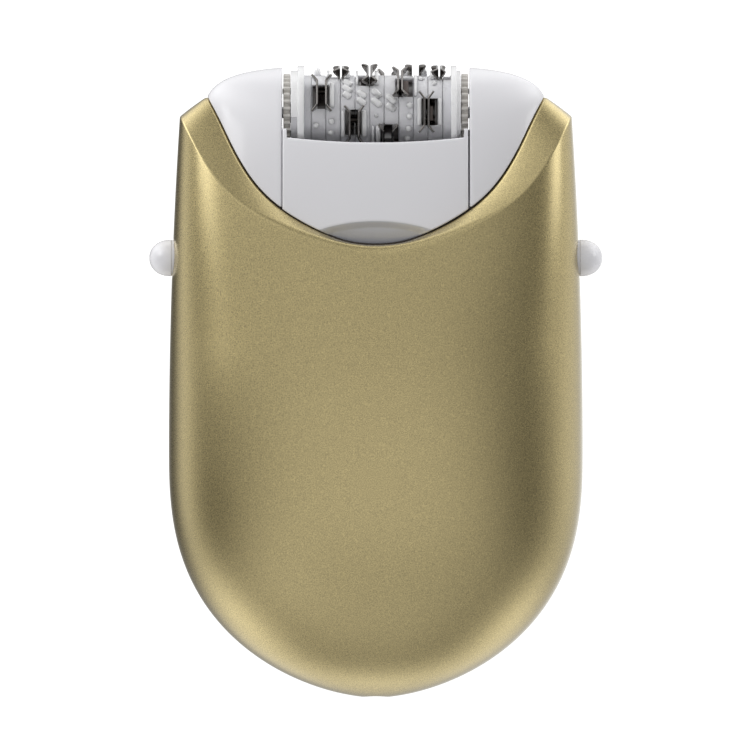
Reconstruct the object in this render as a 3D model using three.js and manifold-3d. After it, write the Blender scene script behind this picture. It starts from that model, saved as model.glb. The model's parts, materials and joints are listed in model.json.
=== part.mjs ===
// A hand-held epilator: a palm-sized body of two satin gold covers with a U-shaped scoop at
// one end, and a white epilating head that lifts out of the scoop once the two round side
// buttons are pressed. The head carries a drum of discs on a steel axle, with nine pairs of
// tweezer plates between the discs. A motor lying across the body turns the drum through a
// train of spur gears, and four push-rod combs open and close the tweezers.
//
// Units are millimetres. The part lies on its back: +Z points out of the front cover, +Y
// points along the body to the head, +X is the right-hand side seen from the front. z = 0 is
// the flat pad of the rear cover, on which the part rests, and x = y = 0 is the middle.
import * as THREE from "three";
import { mergeVertices } from "three/addons/utils/BufferGeometryUtils.js";
import Module from "manifold-3d";

const wasm = await Module();
wasm.setup();

// ---------------------------------------------------------------- driving dimensions
const ZC = 16.5; // height of the parting plane and of every shaft
const Y_BOT = -55.92; // lower end of the body
const Y_WIDE = -12.5; // where the body is widest
const HALF_W = 36.2; // half the greatest width
const WALL_X = 2.0; // cover wall at the sides
const WALL_Z = 1.6; // cover wall at front and back
const N_BODY = 2.4; // superellipse exponent of the body section
const N_HEAD = 2.6; // superellipse exponent of the head section
const HEAD_W = 30.0; // half width of the head
const HEAD_TOP = 55.04;
const HEAD_BOTTOM = 26.5; // lower edge of the two pillars
const PILLAR_X = 16.4; // inner face of the pillars
const DRUM_Y = 46.9; // drum axis
const R_DISC = 6.5;
const DISC_PITCH = 2.546;
const DISC_SHIFT = 0.2;
const BLADE_T = 0.33; // thickness of a tweezer plate
const BLADE_TOP = 7.9; // height of the tweezer edge above the drum axis
const TRAVEL = 1.16; // how far a moving tweezer plate slides
const PART_OPEN = 0.28; // opening, from closed, of the pairs that stand nearly closed at rest
const OPEN_MORE = 0.75; // how much further those pairs open
const ROD_R = 3.9; // radius at which the push rods run
const BUTTON_Y = 21.44;
const BUTTON_TIP = 39.64;
const MODULE_HEAD = 0.4; // gear module, drum side
const MODULE_MOTOR = 0.5; // gear module, motor side
const T_DRUM = 32,
  T_IDLER = 28,
  T_OUT = 28,
  T_SMALL = 12,
  T_LARGE = 32,
  T_PINION = 10;
const Y_IDLER = DRUM_Y - ((T_DRUM + T_IDLER) * MODULE_HEAD) / 2; // 34.9
const Y_OUT = Y_IDLER - ((T_IDLER + T_OUT) * MODULE_HEAD) / 2; // 23.7
const Y_COMP = Y_OUT - ((T_OUT + T_SMALL) * MODULE_HEAD) / 2; // 15.7
const Y_MOTOR = Y_COMP - ((T_LARGE + T_PINION) * MODULE_MOTOR) / 2; // 5.2
const GEAR_X = [-16.15, -14.95]; // plane of the drum-side gears
const GEAR_Q = [-14.3, -12.7]; // plane of the motor-side gears

// ---------------------------------------------------------------- helpers
const V = (x, y, z) => new THREE.Vector3(x, y, z);
function solid(geometry, matrix) {
  let g = geometry.index ? geometry.toNonIndexed() : geometry.clone();
  for (const a of Object.keys(g.attributes)) if (a !== "position") g.deleteAttribute(a);
  if (matrix) g.applyMatrix4(matrix);
  g = mergeVertices(g, 1e-4);
  return new wasm.Manifold(
    new wasm.Mesh({ numProp: 3, vertProperties: g.attributes.position.array, triVerts: new Uint32Array(g.index.array) }),
  );
}
function geometryOf(m) {
  const mesh = m.getMesh(),
    n = mesh.numProp,
    pos = new Float32Array(mesh.numVert * 3);
  for (let i = 0; i < mesh.numVert; i++) pos.set(mesh.vertProperties.subarray(i * n, i * n + 3), i * 3);
  const g = new THREE.BufferGeometry();
  g.setAttribute("position", new THREE.BufferAttribute(pos, 3));
  g.setIndex(new THREE.BufferAttribute(new Uint32Array(mesh.triVerts), 1));
  g.computeVertexNormals();
  return g;
}
const basis = (ax, ay, az, o) => new THREE.Matrix4().makeBasis(ax, ay, az).setPosition(o);
const box = (x0, x1, y0, y1, z0, z1) =>
  solid(new THREE.BoxGeometry(x1 - x0, y1 - y0, z1 - z0), new THREE.Matrix4().makeTranslation((x0 + x1) / 2, (y0 + y1) / 2, (z0 + z1) / 2));
// Cylinders along each axis. ra is the radius at the low end, rb at the high end.
const cylX = (ra, x0, x1, y, z = ZC, n = 16, rb = ra) =>
  solid(new THREE.CylinderGeometry(rb, ra, x1 - x0, n), basis(V(0, 1, 0).negate(), V(1, 0, 0), V(0, 0, 1), V((x0 + x1) / 2, y, z)));
const cylY = (ra, y0, y1, x, z = ZC, n = 16, rb = ra) =>
  solid(new THREE.CylinderGeometry(rb, ra, y1 - y0, n), new THREE.Matrix4().makeTranslation(x, (y0 + y1) / 2, z));
const cylZ = (ra, z0, z1, x, y, n = 16, rb = ra) =>
  solid(new THREE.CylinderGeometry(rb, ra, z1 - z0, n), basis(V(1, 0, 0), V(0, 0, 1), V(0, -1, 0), V(x, y, (z0 + z1) / 2)));
// An outline in the (Y, Z) plane, extruded along X. Points are [y, z] about (y0, z0).
function prismX(points, x0, x1, y0 = 0, z0 = ZC, holes = []) {
  const shape = new THREE.Shape(points.map((p) => new THREE.Vector2(p[0], p[1])));
  for (const h of holes) shape.holes.push(new THREE.Path(h.map((p) => new THREE.Vector2(p[0], p[1]))));
  return solid(new THREE.ExtrudeGeometry(shape, { depth: x1 - x0, bevelEnabled: false }), basis(V(0, 1, 0), V(0, 0, 1), V(1, 0, 0), V(x0, y0, z0)));
}
const circle = (r, n, a0 = 0, cx = 0, cy = 0) =>
  Array.from({ length: n }, (_, i) => [cx + r * Math.cos(a0 + (i * 2 * Math.PI) / n), cy + r * Math.sin(a0 + (i * 2 * Math.PI) / n)]);
const mirrorX = (m) => m.mirror([1, 0, 0]);
const union = (list) => list.reduce((a, b) => a.add(b));

// Natural cubic spline through points [x, y], by chord length; returns t in 0..1 to [x, y].
function spline(points) {
  const n = points.length,
    t = [0];
  for (let i = 1; i < n; i++) t.push(t[i - 1] + Math.hypot(points[i][0] - points[i - 1][0], points[i][1] - points[i - 1][1]));
  const h = t.slice(1).map((v, i) => v - t[i]);
  const second = (k) => {
    const a = new Array(n).fill(0),
      b = new Array(n).fill(1),
      c = new Array(n).fill(0),
      d = new Array(n).fill(0);
    for (let i = 1; i < n - 1; i++) {
      a[i] = h[i - 1];
      b[i] = 2 * (h[i - 1] + h[i]);
      c[i] = h[i];
      d[i] = 6 * ((points[i + 1][k] - points[i][k]) / h[i] - (points[i][k] - points[i - 1][k]) / h[i - 1]);
    }
    for (let i = 1; i < n; i++) {
      const w = a[i] / b[i - 1];
      b[i] -= w * c[i - 1];
      d[i] -= w * d[i - 1];
    }
    const m = new Array(n).fill(0);
    for (let i = n - 2; i > 0; i--) m[i] = (d[i] - c[i] * m[i + 1]) / b[i];
    return m;
  };
  const m = [second(0), second(1)];
  return (u) => {
    const s = Math.min(Math.max(u, 0), 1) * t[n - 1];
    let i = 0;
    while (i < n - 2 && s > t[i + 1]) i++;
    const A = (t[i + 1] - s) / h[i],
      B = (s - t[i]) / h[i];
    return [0, 1].map((k) => A * points[i][k] + B * points[i + 1][k] + (((A ** 3 - A) * m[k][i] + (B ** 3 - B) * m[k][i + 1]) * h[i] ** 2) / 6);
  };
}
// Both edges of the scoop, seen from the front, from the middle to the shoulder. Each list is
// mirrored about x = 0, so the curve crosses the middle smoothly.
const CREASE = [
  [0, 23.3],
  [6, 24.0],
  [12, 25.55],
  [18.2, 27.9],
  [24.0, 31.3],
  [28.9, 36.6],
  [32.0, 41.8],
  [34.33, 46.2],
];
const EDGE = [
  [0, 23.6],
  [5.7, 24.3],
  [9.5, 25.75],
  [13.3, 27.65],
  [17.0, 30.1],
  [20.3, 33.1],
  [23.1, 36.8],
  [25.8, 41.7],
  [28.2, 46.6],
  [29.85, 49.5],
];
const both = (list) => [...list.slice(1).map(([x, y]) => [-x, y]).reverse(), ...list];
const creaseCurve = spline(both(CREASE)),
  edgeCurve = spline(both(EDGE));

const softPlus = (y) => (Math.sqrt((y + 2) ** 2 + 144) + (y + 2)) / 2;
const bottomRound = (y, p, q, bot = Y_BOT) => {
  if (y >= Y_WIDE) return 1;
  const t = (Y_WIDE - y) / (Y_WIDE - bot);
  return Math.pow(Math.max(0, 1 - Math.pow(t, p)), q);
};
// Half width and half depth of the body, for the outer skin and inner skin. The front and the
// rear match, but the rear is cut off flat at z = 0.
const halfWidth = (y, inner = false) => {
  const w = HALF_W - (inner ? WALL_X : 0),
    t = (y - Y_WIDE) / 58.6;
  return y > Y_WIDE ? w - 1.9 * t * t : w * bottomRound(y, 2.65, 0.58, Y_BOT + (inner ? WALL_X : 0));
};
const depth = (y, inner = false) =>
  (18.9 - 0.165 * softPlus(y) - (inner ? WALL_Z : 0)) * bottomRound(y, 2.6, 0.5, Y_BOT + (inner ? WALL_X : 0));
const sec = (s, n) => Math.pow(Math.max(0, 1 - Math.pow(Math.min(1, Math.abs(s)), n)), 1 / n);
// Flattens the rear to the pad at z = 0 with a soft shoulder.
function pad(z, limit) {
  const a = limit - 0.8,
    b = limit + 0.8;
  if (z <= a) return z;
  if (z >= b) return limit;
  return limit - (b - z) ** 2 / (2 * (b - a));
}
const headHalf = (y) => (y <= 46 ? HEAD_W : HEAD_W * Math.pow(Math.max(0, 1 - ((y - 46) / (HEAD_TOP - 46)) ** 3), 0.25));
const headDepth = (y) => {
  const t = Math.max(0, (y - 30) / (HEAD_TOP - 30));
  return (12.6 - 0.07 * (y - 23)) * Math.sqrt(Math.max(0, 1 - t ** 3));
};
const headSkin = (x, y) => headDepth(y) * sec(x / headHalf(y), N_HEAD);
// Below the edge of the scoop the head runs straight down, so that it can be lifted out.
const edgeY = (x) => {
  const a = Math.min(Math.abs(x), EDGE[EDGE.length - 1][0]);
  let i = 1;
  while (i < EDGE.length - 1 && a > EDGE[i][0]) i++;
  const t = (a - EDGE[i - 1][0]) / (EDGE[i][0] - EDGE[i - 1][0]);
  return EDGE[i - 1][1] + t * (EDGE[i][1] - EDGE[i - 1][1]);
};
const headSkinBelow = (x, y) => headSkin(x, Math.max(y, edgeY(x)));

// ---------------------------------------------------------------- covers
// A cover is a skin of columns that run from the lower end of the body up to the scoop. Each
// column keeps one share s of the half width, and ends on the crease; the sloped band then
// leads in to the edge beside the head, and the inner skin leads back down.
const COLS = [-1, -0.98, -0.91, -0.79, -0.63, -0.45, -0.22, 0, 0.22, 0.45, 0.63, 0.79, 0.91, 0.98, 1];
const ROWS = [0, 0.014, 0.05, 0.11, 0.2, 0.32, 0.47, 0.66, 0.83, 1];
function creaseAt(s) {
  // the point of the crease that lies on the column s, by bisection along the curve
  let lo = 0,
    hi = 1;
  const f = (t) => {
    const [x, y] = creaseCurve(t);
    return x / halfWidth(y) - s;
  };
  if (s <= -1) return 0;
  if (s >= 1) return 1;
  for (let i = 0; i < 40; i++) {
    const mid = (lo + hi) / 2;
    if (f(mid) < 0) lo = mid;
    else hi = mid;
  }
  return (lo + hi) / 2;
}
function cover(rear) {
  const sign = rear ? -1 : 1,
    limit = 16.5;
  const outer = [],
    inner = [];
  for (const s of COLS) {
    const t = creaseAt(s);
    const [, yTop] = creaseCurve(t);
    const a = [],
      b = [];
    const innerTop = yTop - 1.4;
    for (const r of ROWS) {
      const y = Y_BOT + (yTop - Y_BOT) * r;
      let z = depth(y) * sec(s, N_BODY);
      if (rear) z = pad(z, limit);
      a.push([s * halfWidth(y), y, ZC + sign * z]);
      const yi = Y_BOT + WALL_X + (innerTop - Y_BOT - WALL_X) * r;
      let zi = depth(yi, true) * sec(s, N_BODY);
      if (rear) zi = pad(zi, limit - WALL_Z);
      b.push([s * halfWidth(yi, true), yi, ZC + sign * zi]);
    }
    // the band and its underside
    const [ex, ey] = edgeCurve(t);
    const ez = Math.abs(s) === 1 ? 0 : headSkin(Math.min(Math.abs(ex), headHalf(ey) - 0.02), ey) + 0.45;
    const e = [ex, ey, ZC + sign * ez];
    const c = a[a.length - 1],
      ci = b[b.length - 1];
    a.push([(c[0] + e[0]) / 2, (c[1] + e[1]) / 2, (c[2] + e[2]) / 2], e);
    const u = [e[0] + Math.sign(e[0]) * 0.1 * Math.abs(s), e[1] - 1.5, e[2]];
    b.push([(ci[0] + u[0]) / 2, (ci[1] + u[1]) / 2, (ci[2] + u[2]) / 2], u);
    outer.push(a);
    inner.push(b);
  }
  const pos = [],
    K = COLS.length,
    N = outer[0].length;
  const put = (p) => pos.push(p[0], p[1], p[2]) / 3 - 1;
  const A = [],
    B = [];
  const poleA = put([0, Y_BOT, ZC]),
    poleB = put([0, Y_BOT + WALL_X, ZC]);
  for (let k = 0; k < K; k++) {
    A.push([poleA, ...outer[k].slice(1).map(put)]);
    B.push([poleB, ...inner[k].slice(1).map(put)]);
  }
  const tri = [];
  const face = (a, b, c) => {
    if (a !== b && b !== c && a !== c) tri.push(...(rear ? [a, c, b] : [a, b, c]));
  };
  const quad = (a, b, c, d) => {
    face(a, b, c);
    face(a, c, d);
  };
  for (let k = 0; k < K - 1; k++)
    for (let j = 0; j < N - 1; j++) {
      quad(A[k][j], A[k + 1][j], A[k + 1][j + 1], A[k][j + 1]);
      quad(B[k][j], B[k][j + 1], B[k + 1][j + 1], B[k + 1][j]);
    }
  for (let k = 0; k < K - 1; k++) quad(A[k][N - 1], A[k + 1][N - 1], B[k + 1][N - 1], B[k][N - 1]);
  for (let j = 0; j < N - 1; j++) {
    quad(A[0][j], A[0][j + 1], B[0][j + 1], B[0][j]);
    quad(A[K - 1][j], B[K - 1][j], B[K - 1][j + 1], A[K - 1][j + 1]);
  }
  const g = new THREE.BufferGeometry();
  g.setAttribute("position", new THREE.BufferAttribute(new Float32Array(pos), 3));
  g.setIndex(tri);
  return solid(g);
}
// The covers part at the middle plane with a hairline gap.
const SEAM = 0.06;
const above = box(-60, 60, -80, 80, ZC + SEAM, 80),
  below = box(-60, 60, -80, 80, -80, ZC - SEAM);
const SCREWS = [
  [-17, -42],
  [17, -42],
  [-27, 5],
  [27, 5],
];
const buttonHoles = union([cylX(3.5, -45, -30, BUTTON_Y, ZC, 16), cylX(3.5, 30, 45, BUTTON_Y, ZC, 16)]);
const jackHole = cylY(2.4, -60, -50, 0, ZC, 16);
const bodyFilled = () => {
  // the outer skin as a filled solid, to trim bosses and ribs to
  const loops = [];
  const ys = [-55.3, -54, -51, -47, -41, -34, -25, -15, -5, 5, 15, 22, 27];
  for (const y of ys)
    loops.push(
      Array.from({ length: 22 }, (_, i) => {
        const a = (i / 22) * 2 * Math.PI,
          c = Math.cos(a),
          q = Math.sin(a);
        const w = halfWidth(y) - 0.9,
          up = q >= 0;
        let d = depth(y) - 0.7;
        const x = w * Math.sign(c) * Math.pow(Math.abs(c), 2 / N_BODY);
        let z = d * Math.pow(Math.abs(q), 2 / N_BODY);
        if (!up) z = Math.min(z, 15.7);
        return [x, y, ZC + (up ? z : -z)];
      }),
    );
  return loft(loops);
};
// A closed solid through loops of points, each a ring [x, y, z] running the same way.
function loft(loops) {
  const n = loops[0].length,
    pos = [],
    tri = [];
  for (const l of loops) for (const p of l) pos.push(...p);
  const L = loops.length;
  const centre = (l) => l.reduce((a, p) => a.map((v, i) => v + p[i] / n), [0, 0, 0]);
  pos.push(...centre(loops[0]), ...centre(loops[L - 1]));
  const c0 = L * n,
    c1 = L * n + 1;
  for (let i = 0; i < L - 1; i++)
    for (let j = 0; j < n; j++) {
      const k = (j + 1) % n,
        a = i * n + j,
        b = i * n + k,
        c = (i + 1) * n + k,
        d = (i + 1) * n + j;
      tri.push(a, b, c, a, c, d);
    }
  for (let j = 0; j < n; j++) {
    const k = (j + 1) % n;
    tri.push(c0, k, j, c1, (L - 1) * n + j, (L - 1) * n + k);
  }
  const g = new THREE.BufferGeometry();
  g.setAttribute("position", new THREE.BufferAttribute(new Float32Array(pos), 3));
  g.setIndex(tri);
  let m = solid(g);
  if (m.volume() < 0) {
    for (let i = 0; i < tri.length; i += 3) [tri[i + 1], tri[i + 2]] = [tri[i + 2], tri[i + 1]];
    g.setIndex(tri);
    m = solid(g);
  }
  return m;
}
const filled = bodyFilled();
const frontBosses = union(SCREWS.map(([x, y]) => cylZ(3.0, ZC + 0.1, 34, x, y, 10))).intersect(filled);
let frontCover = cover(false)
  .intersect(above)
  .add(frontBosses)
  .subtract(buttonHoles)
  .subtract(jackHole)
  .subtract(union(SCREWS.map(([x, y]) => cylZ(1.0, ZC - 1, ZC + 9, x, y, 8))));
const rearBosses = union(SCREWS.map(([x, y]) => cylZ(3.4, 1, ZC - 0.1, x, y, 10)));
const guideRibs = union([box(-25.6, -24.2, 17.6, 25.2, 2, 21), box(24.2, 25.6, 17.6, 25.2, 2, 21)]);
const SWITCH_Y = 12;
const pocketFloor = box(-6.6, 6.6, SWITCH_Y - 9.5, SWITCH_Y + 9.5, 0.9, 2.9);
const slotLong = (w, l, z0, z1) =>
  union([
    cylZ(w, z0, z1, 0, SWITCH_Y - l, 14),
    cylZ(w, z0, z1, 0, SWITCH_Y + l, 14),
    box(-w * Math.cos(Math.PI / 14), w * Math.cos(Math.PI / 14), SWITCH_Y - l, SWITCH_Y + l, z0, z1),
  ]);
let rearCover = cover(true)
  .intersect(below)
  .add(union([rearBosses, pocketFloor]).intersect(filled).intersect(below))
  .add(guideRibs.intersect(filled))
  .subtract(buttonHoles)
  .subtract(jackHole)
  .subtract(union(SCREWS.map(([x, y]) => cylZ(2.5, -2, 7.5, x, y, 10))))
  .subtract(union(SCREWS.map(([x, y]) => cylZ(1.35, 6, ZC + 1, x, y, 8))))
  .subtract(union([cylX(1.9, -27, -23, BUTTON_Y, ZC, 10), cylX(1.9, 23, 27, BUTTON_Y, ZC, 10)]))
  .subtract(slotLong(4.4, 3.6, -1, 2.1))
  .subtract(box(-1.5, 1.5, SWITCH_Y - 4.2, SWITCH_Y + 4.2, 1, 4))
  .subtract(cylZ(1.5, -1, 4, 0, -3, 12));

// ---------------------------------------------------------------- head
function headShell(inset, ys, n) {
  const loops = ys.map((y) =>
    Array.from({ length: n }, (_, i) => {
      const a = ((i + 0.5) / n) * 2 * Math.PI,
        c = Math.cos(a),
        q = Math.sin(a);
      const w = Math.max(0.4, (y < 47 ? headHalf(49.2) : headHalf(y)) - inset);
      const x = w * Math.sign(c) * Math.pow(Math.abs(c), 2 / N_HEAD);
      const grow = (w + inset) / w;
      const z = Math.max(0.3, Math.min(headSkinBelow(x * grow, y), headDepth(y)) - inset * (w + inset > 1 ? Math.pow(Math.abs(q), 2 / N_HEAD) : 1));
      return [x, y, ZC + Math.sign(q) * z];
    }),
  );
  return loft(loops);
}
const headOuter = headShell(0, [HEAD_BOTTOM, 30, 34, 38, 42, 46, 48, 49.8, 51.4, 52.7, 53.7, 54.5, 54.98], 30);
const headInner = headShell(1.8, [HEAD_BOTTOM - 2, 34, 42, 46.5, 48.4], 22);
const notches = (m) =>
  m
    .subtract(box(-PILLAR_X, PILLAR_X, 20, 60, -5, 45))
    .subtract(headInner.intersect(union([box(-40, -PILLAR_X - 1.8, 20, 49, -5, 45), box(PILLAR_X + 1.8, 40, 20, 49, -5, 45)])));
const bridge = box(-PILLAR_X - 0.8, PILLAR_X + 0.8, 28.6, 30.4, ZC - 9.0, ZC + 9.0)
  .subtract(box(-PILLAR_X - 0.3, -12.3, 27, 32, ZC - 7.3, ZC + 7.3))
  .add(box(-12.2, -10.6, 30.0, 37.2, ZC - 2.6, ZC + 2.6));
const rollerPocket = (s) =>
  union([
    box(Math.min(s * 16.2, s * 20.8), Math.max(s * 16.2, s * 20.8), 49.9, 51.7, ZC - 2.3, ZC + 2.3),
    cylY(0.75, 49.0, 52.6, s * 18.6, ZC, 8),
  ]);
const headHousing = notches(headOuter)
  .subtract(box(-PILLAR_X - 2, -PILLAR_X + 1, 20, 28.0, ZC - 8.5, ZC + 8.5))
  .add(bridge)
  .subtract(cylX(1.12, -20, 20, DRUM_Y, ZC, 16))
  .subtract(cylX(0.85, -20, -10, Y_IDLER, ZC, 12))
  .subtract(rollerPocket(-1))
  .subtract(rollerPocket(1));
// The front and rear aprons close the head below the drum. Both are the same moulding.
const APRON_X = 16.2,
  APRON_T = 2.0;
function apron() {
  const xs = [-APRON_X, -12, -6, 0, 6, 12, APRON_X],
    n = 7;
  const pos = [],
    tri = [];
  const id = (i, j, k) => (k * xs.length + i) * n + j;
  for (const k of [0, 1])
    for (const x of xs)
      for (let j = 0; j < n; j++) {
        const top = 41.5 + (x / APRON_X) ** 2,
          y = 21.2 + ((top - 21.2) * j) / (n - 1);
        pos.push(x, y, ZC + headSkinBelow(x, y) - (k ? APRON_T : 0));
      }
  const quad = (a, b, c, d) => tri.push(a, b, c, a, c, d);
  for (let i = 0; i < xs.length - 1; i++)
    for (let j = 0; j < n - 1; j++) {
      quad(id(i, j, 0), id(i + 1, j, 0), id(i + 1, j + 1, 0), id(i, j + 1, 0));
      quad(id(i, j, 1), id(i, j + 1, 1), id(i + 1, j + 1, 1), id(i + 1, j, 1));
    }
  for (let i = 0; i < xs.length - 1; i++) {
    quad(id(i, 0, 1), id(i + 1, 0, 1), id(i + 1, 0, 0), id(i, 0, 0));
    quad(id(i, n - 1, 0), id(i + 1, n - 1, 0), id(i + 1, n - 1, 1), id(i, n - 1, 1));
  }
  const m = xs.length - 1;
  for (let j = 0; j < n - 1; j++) {
    quad(id(0, j, 0), id(0, j + 1, 0), id(0, j + 1, 1), id(0, j, 1));
    quad(id(m, j, 1), id(m, j + 1, 1), id(m, j + 1, 0), id(m, j, 0));
  }
  const g = new THREE.BufferGeometry();
  g.setAttribute("position", new THREE.BufferAttribute(new Float32Array(pos), 3));
  g.setIndex(tri);
  // the finger scoop at the foot of the apron, and two ears beside the drum
  const scoop = loft([circle(19.8, 44, 0, 0, 6.7).map(([x, y]) => [x, y, ZC + 11.2]), circle(23.3, 44, 0, 0, 4.4).map(([x, y]) => [x, y, ZC + 12.45]), circle(23.6, 44, 0, 0, 4.4).map(([x, y]) => [x, y, ZC + 14])]);
  const ear = (s) => box(Math.min(s * 15.45, s * APRON_X), Math.max(s * 15.45, s * APRON_X), 41.6, 44.0, ZC + headSkin(15.8, 42.5) - 1.3, ZC + headSkin(15.8, 44) - 0.1);
  return solid(g).subtract(scoop).add(ear(-1)).add(ear(1));
}
const frontApron = apron();
const rearApron = frontApron.translate([0, 0, -ZC]).mirror([0, 0, 1]).translate([0, 0, ZC]);

// ---------------------------------------------------------------- drum
// Joints between discs, from left to right. Each holds a fixed and a moving plate whose wings
// stand at the given angle from straight ahead (0) towards the top (90), and 180 further on.
// side is where the moving plate stands, -1 left or 1 right of the fixed one, shift is how far
// the pair stands from the middle of its window, and set is the comb that moves it. The pairs
// of set a stand open at rest, and those of set b nearly closed. far is how far the window
// reaches on the moving side, and ribs are the spans along X of the guards beside the window.
const JOINTS = [
  { n: 2, deg: 26, side: -1, set: "a", shift: -0.5, far: 2.55, ribs: [[-8.07, -7.26]] },
  { n: 3, deg: 84, side: -1, set: "b", shift: -0.1, far: 2.27, ribs: [[-8.58, -8.1], [-5.2, -4.5]] },
  { n: 4, deg: 162, side: -1, set: "a", shift: 0.1, far: 2.33, ribs: [[-6.04, -5.42], [-2.45, -1.65]] },
  { n: 5, deg: 66, side: -1, set: "b", shift: -0.2, far: 2.27, ribs: [[-3.5, -3.08], [-0.2, 0.5]] },
  { n: 6, deg: 139, side: 1, set: "a", shift: 0.4, far: 2.6, ribs: [[-0.67, -0.35], [0.05, 0.8]] },
  { n: 7, deg: 45, side: 1, set: "b", shift: 0.4, far: 2.6, ribs: [[6.68, 7.18]] },
  { n: 8, deg: 102, side: 1, set: "a", shift: 0.1, far: 2.27, ribs: [[4.9, 5.6], [8.48, 8.98]] },
  { n: 9, deg: 0, side: 1, set: "b", shift: -0.1, far: 2.27, ribs: [[7.25, 7.97], [10.87, 11.5]] },
  { n: 10, deg: 82, side: 1, set: "b", shift: -0.4, far: 2.27, ribs: [[9.5, 10.2]] },
];
const jointX = (n) => DISC_SHIFT + (n - 5.5) * DISC_PITCH;
const GAP = 0.07; // half the gap between discs
const R_HUB = 2.3,
  R_CAVITY = 5.45,
  R_HOLE = 0.85;
const CLOSED = 0.4; // between the middles of a closed pair
const opening = (j) => (j.set === "a" ? TRAVEL : PART_OPEN);
const fixedX = (j) => jointX(j.n) - j.side * 0.515 + j.shift;
const movingX = (j) => fixedX(j) + j.side * (CLOSED + opening(j));
const ROD_ANGLE = { a: (20 * Math.PI) / 180, b: (110 * Math.PI) / 180 };
const rods = (set, r, x0, x1, n = 6) =>
  union(
    [0, Math.PI].map((a) =>
      cylX(r, x0, x1, DRUM_Y + ROD_R * Math.cos(ROD_ANGLE[set] + a), ZC + ROD_R * Math.sin(ROD_ANGLE[set] + a), n),
    ),
  );
const drill = (m, sets, x0, x1) => sets.split("").reduce((a, set) => a.subtract(rods(set, R_HOLE, x0, x1)), m);
// The frame of a wing: local x along the drum axis, y round the drum, z outwards.
const wingFrame = (deg, x) => {
  const a = (deg * Math.PI) / 180,
    R = V(0, Math.sin(a), Math.cos(a)),
    T = V(0, Math.cos(a), -Math.sin(a));
  return basis(V(1, 0, 0), T, R, V(x, DRUM_Y, ZC));
};
const spanOf = (j, near, far) => {
  const a = fixedX(j) - j.side * near,
    b = fixedX(j) + j.side * far;
  return [Math.min(a, b), Math.max(a, b)];
};
function slot(j) {
  // the window that a joint's tweezers stand in, on both sides of the drum
  const [lo, hi] = spanOf(j, 0.48, j.far);
  const g = () => new THREE.BoxGeometry(hi - lo, 4.7, 5.1).translate((hi + lo) / 2, 0, 7.15);
  return solid(g(), wingFrame(j.deg, 0)).add(solid(g(), wingFrame(j.deg + 180, 0)));
}
function recess(j) {
  // the ring-shaped space that a joint's two plates stand in
  const [lo, hi] = spanOf(j, 0.25, CLOSED + TRAVEL + 0.27);
  return prismX(circle(R_CAVITY, 12), lo, hi, DRUM_Y, ZC, [circle(R_HUB, 8)]);
}
const WINDOWS = new Map(JOINTS.map((j) => [j.n, recess(j).add(slot(j))]));
// the guards that stand up from the rims beside the windows
const RIBS = JOINTS.flatMap((j) =>
  j.ribs.map(([x0, x1]) => {
    const g = () => new THREE.BoxGeometry(x1 - x0, 4.4, 1.4).translate((x0 + x1) / 2, 0, 6.7);
    return { x0, x1, shape: solid(g(), wingFrame(j.deg, 0)).add(solid(g(), wingFrame(j.deg + 180, 0))) };
  }),
);
// which push rods pass through each disc
const THROUGH = ["", "ab", "ab", "ab", "b", "", "a", "ab", "ab", "ab"];
function disc(i) {
  const x0 = jointX(i) + GAP,
    x1 = jointX(i + 1) - GAP;
  let m = prismX(circle(R_DISC, 26), x0, x1, DRUM_Y, ZC, [circle(1.25, 8)]);
  for (const n of [i, i + 1]) if (WINDOWS.has(n)) m = m.subtract(WINDOWS.get(n));
  for (const rib of RIBS) if (rib.x0 > x0 && rib.x1 < x1) m = m.add(rib.shape);
  return drill(m, THROUGH[i], -20, 20);
}
function endDisc(s) {
  const b = s < 0 ? jointX(1) : jointX(10);
  const f0 = s < 0 ? -12.5 : 13.15,
    f1 = s < 0 ? -13.7 : 14.15;
  const span = (r, a, c, n) => cylX(r, Math.min(a, c), Math.max(a, c), DRUM_Y, ZC, n);
  let m = span(R_DISC, b + s * GAP, f1, 26)
    .add(span(8.2, f0, f1, 26))
    .add(span(7.3, f1 - s * 0.2, s * 14.85, 26));
  if (s > 0) m = m.subtract(WINDOWS.get(10));
  return drill(m.subtract(cylX(1.25, -20, 20, DRUM_Y, ZC, 8)), "ab", -20, 20);
}
// A tweezer plate: a ring between two hubs with a wing on either side. Each wing is a blade
// whose two ends flare away from its partner above the rim of the drum.
function plate(x, deg, flare, holes) {
  const t = BLADE_T,
    x0 = x - t / 2;
  let m = prismX(circle(5.2, 12), x0, x0 + t, DRUM_Y, ZC, [circle(2.65, 8)]);
  let pts = [
    [0.86, -3.55],
    [1.1, -3.32],
    [t, -2.2],
    [t, 2.2],
    [1.1, 3.32],
    [0.86, 3.55],
    [0, 2.45],
    [0, -2.45],
  ];
  if (flare < 0) pts = pts.map(([x, y]) => [t - x, y]).reverse();
  const shape = new THREE.Shape(pts.map((p) => new THREE.Vector2(...p)));
  for (const a of [deg, deg + 180])
    m = m
      .add(solid(new THREE.ExtrudeGeometry(shape, { depth: BLADE_TOP - 6.8, bevelEnabled: false }).translate(0, 0, 6.8), wingFrame(a, x0)))
      .add(solid(new THREE.BoxGeometry(t, 4.4, BLADE_TOP - 4.3).translate(t / 2, 0, (BLADE_TOP + 4.3) / 2), wingFrame(a, x0)));
  return drill(m, holes, x0 - 1, x0 + 1);
}
// Fixed plates are drilled where push rods pass them.
const PLATE_HOLES = { 2: "ab", 3: "ab", 4: "b", 5: "", 6: "", 7: "a", 8: "ab", 9: "ab", 10: "ab" };
const fixedPlate = (j) => plate(fixedX(j), j.deg, -j.side, PLATE_HOLES[j.n]);
const MOVING_HOLES = { 2: "b", 3: "a", 4: "b", 5: "", 6: "", 7: "a", 8: "b", 9: "a", 10: "a" };
const movingPlate = (j) => plate(movingX(j), j.deg, j.side, MOVING_HOLES[j.n]);
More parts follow.
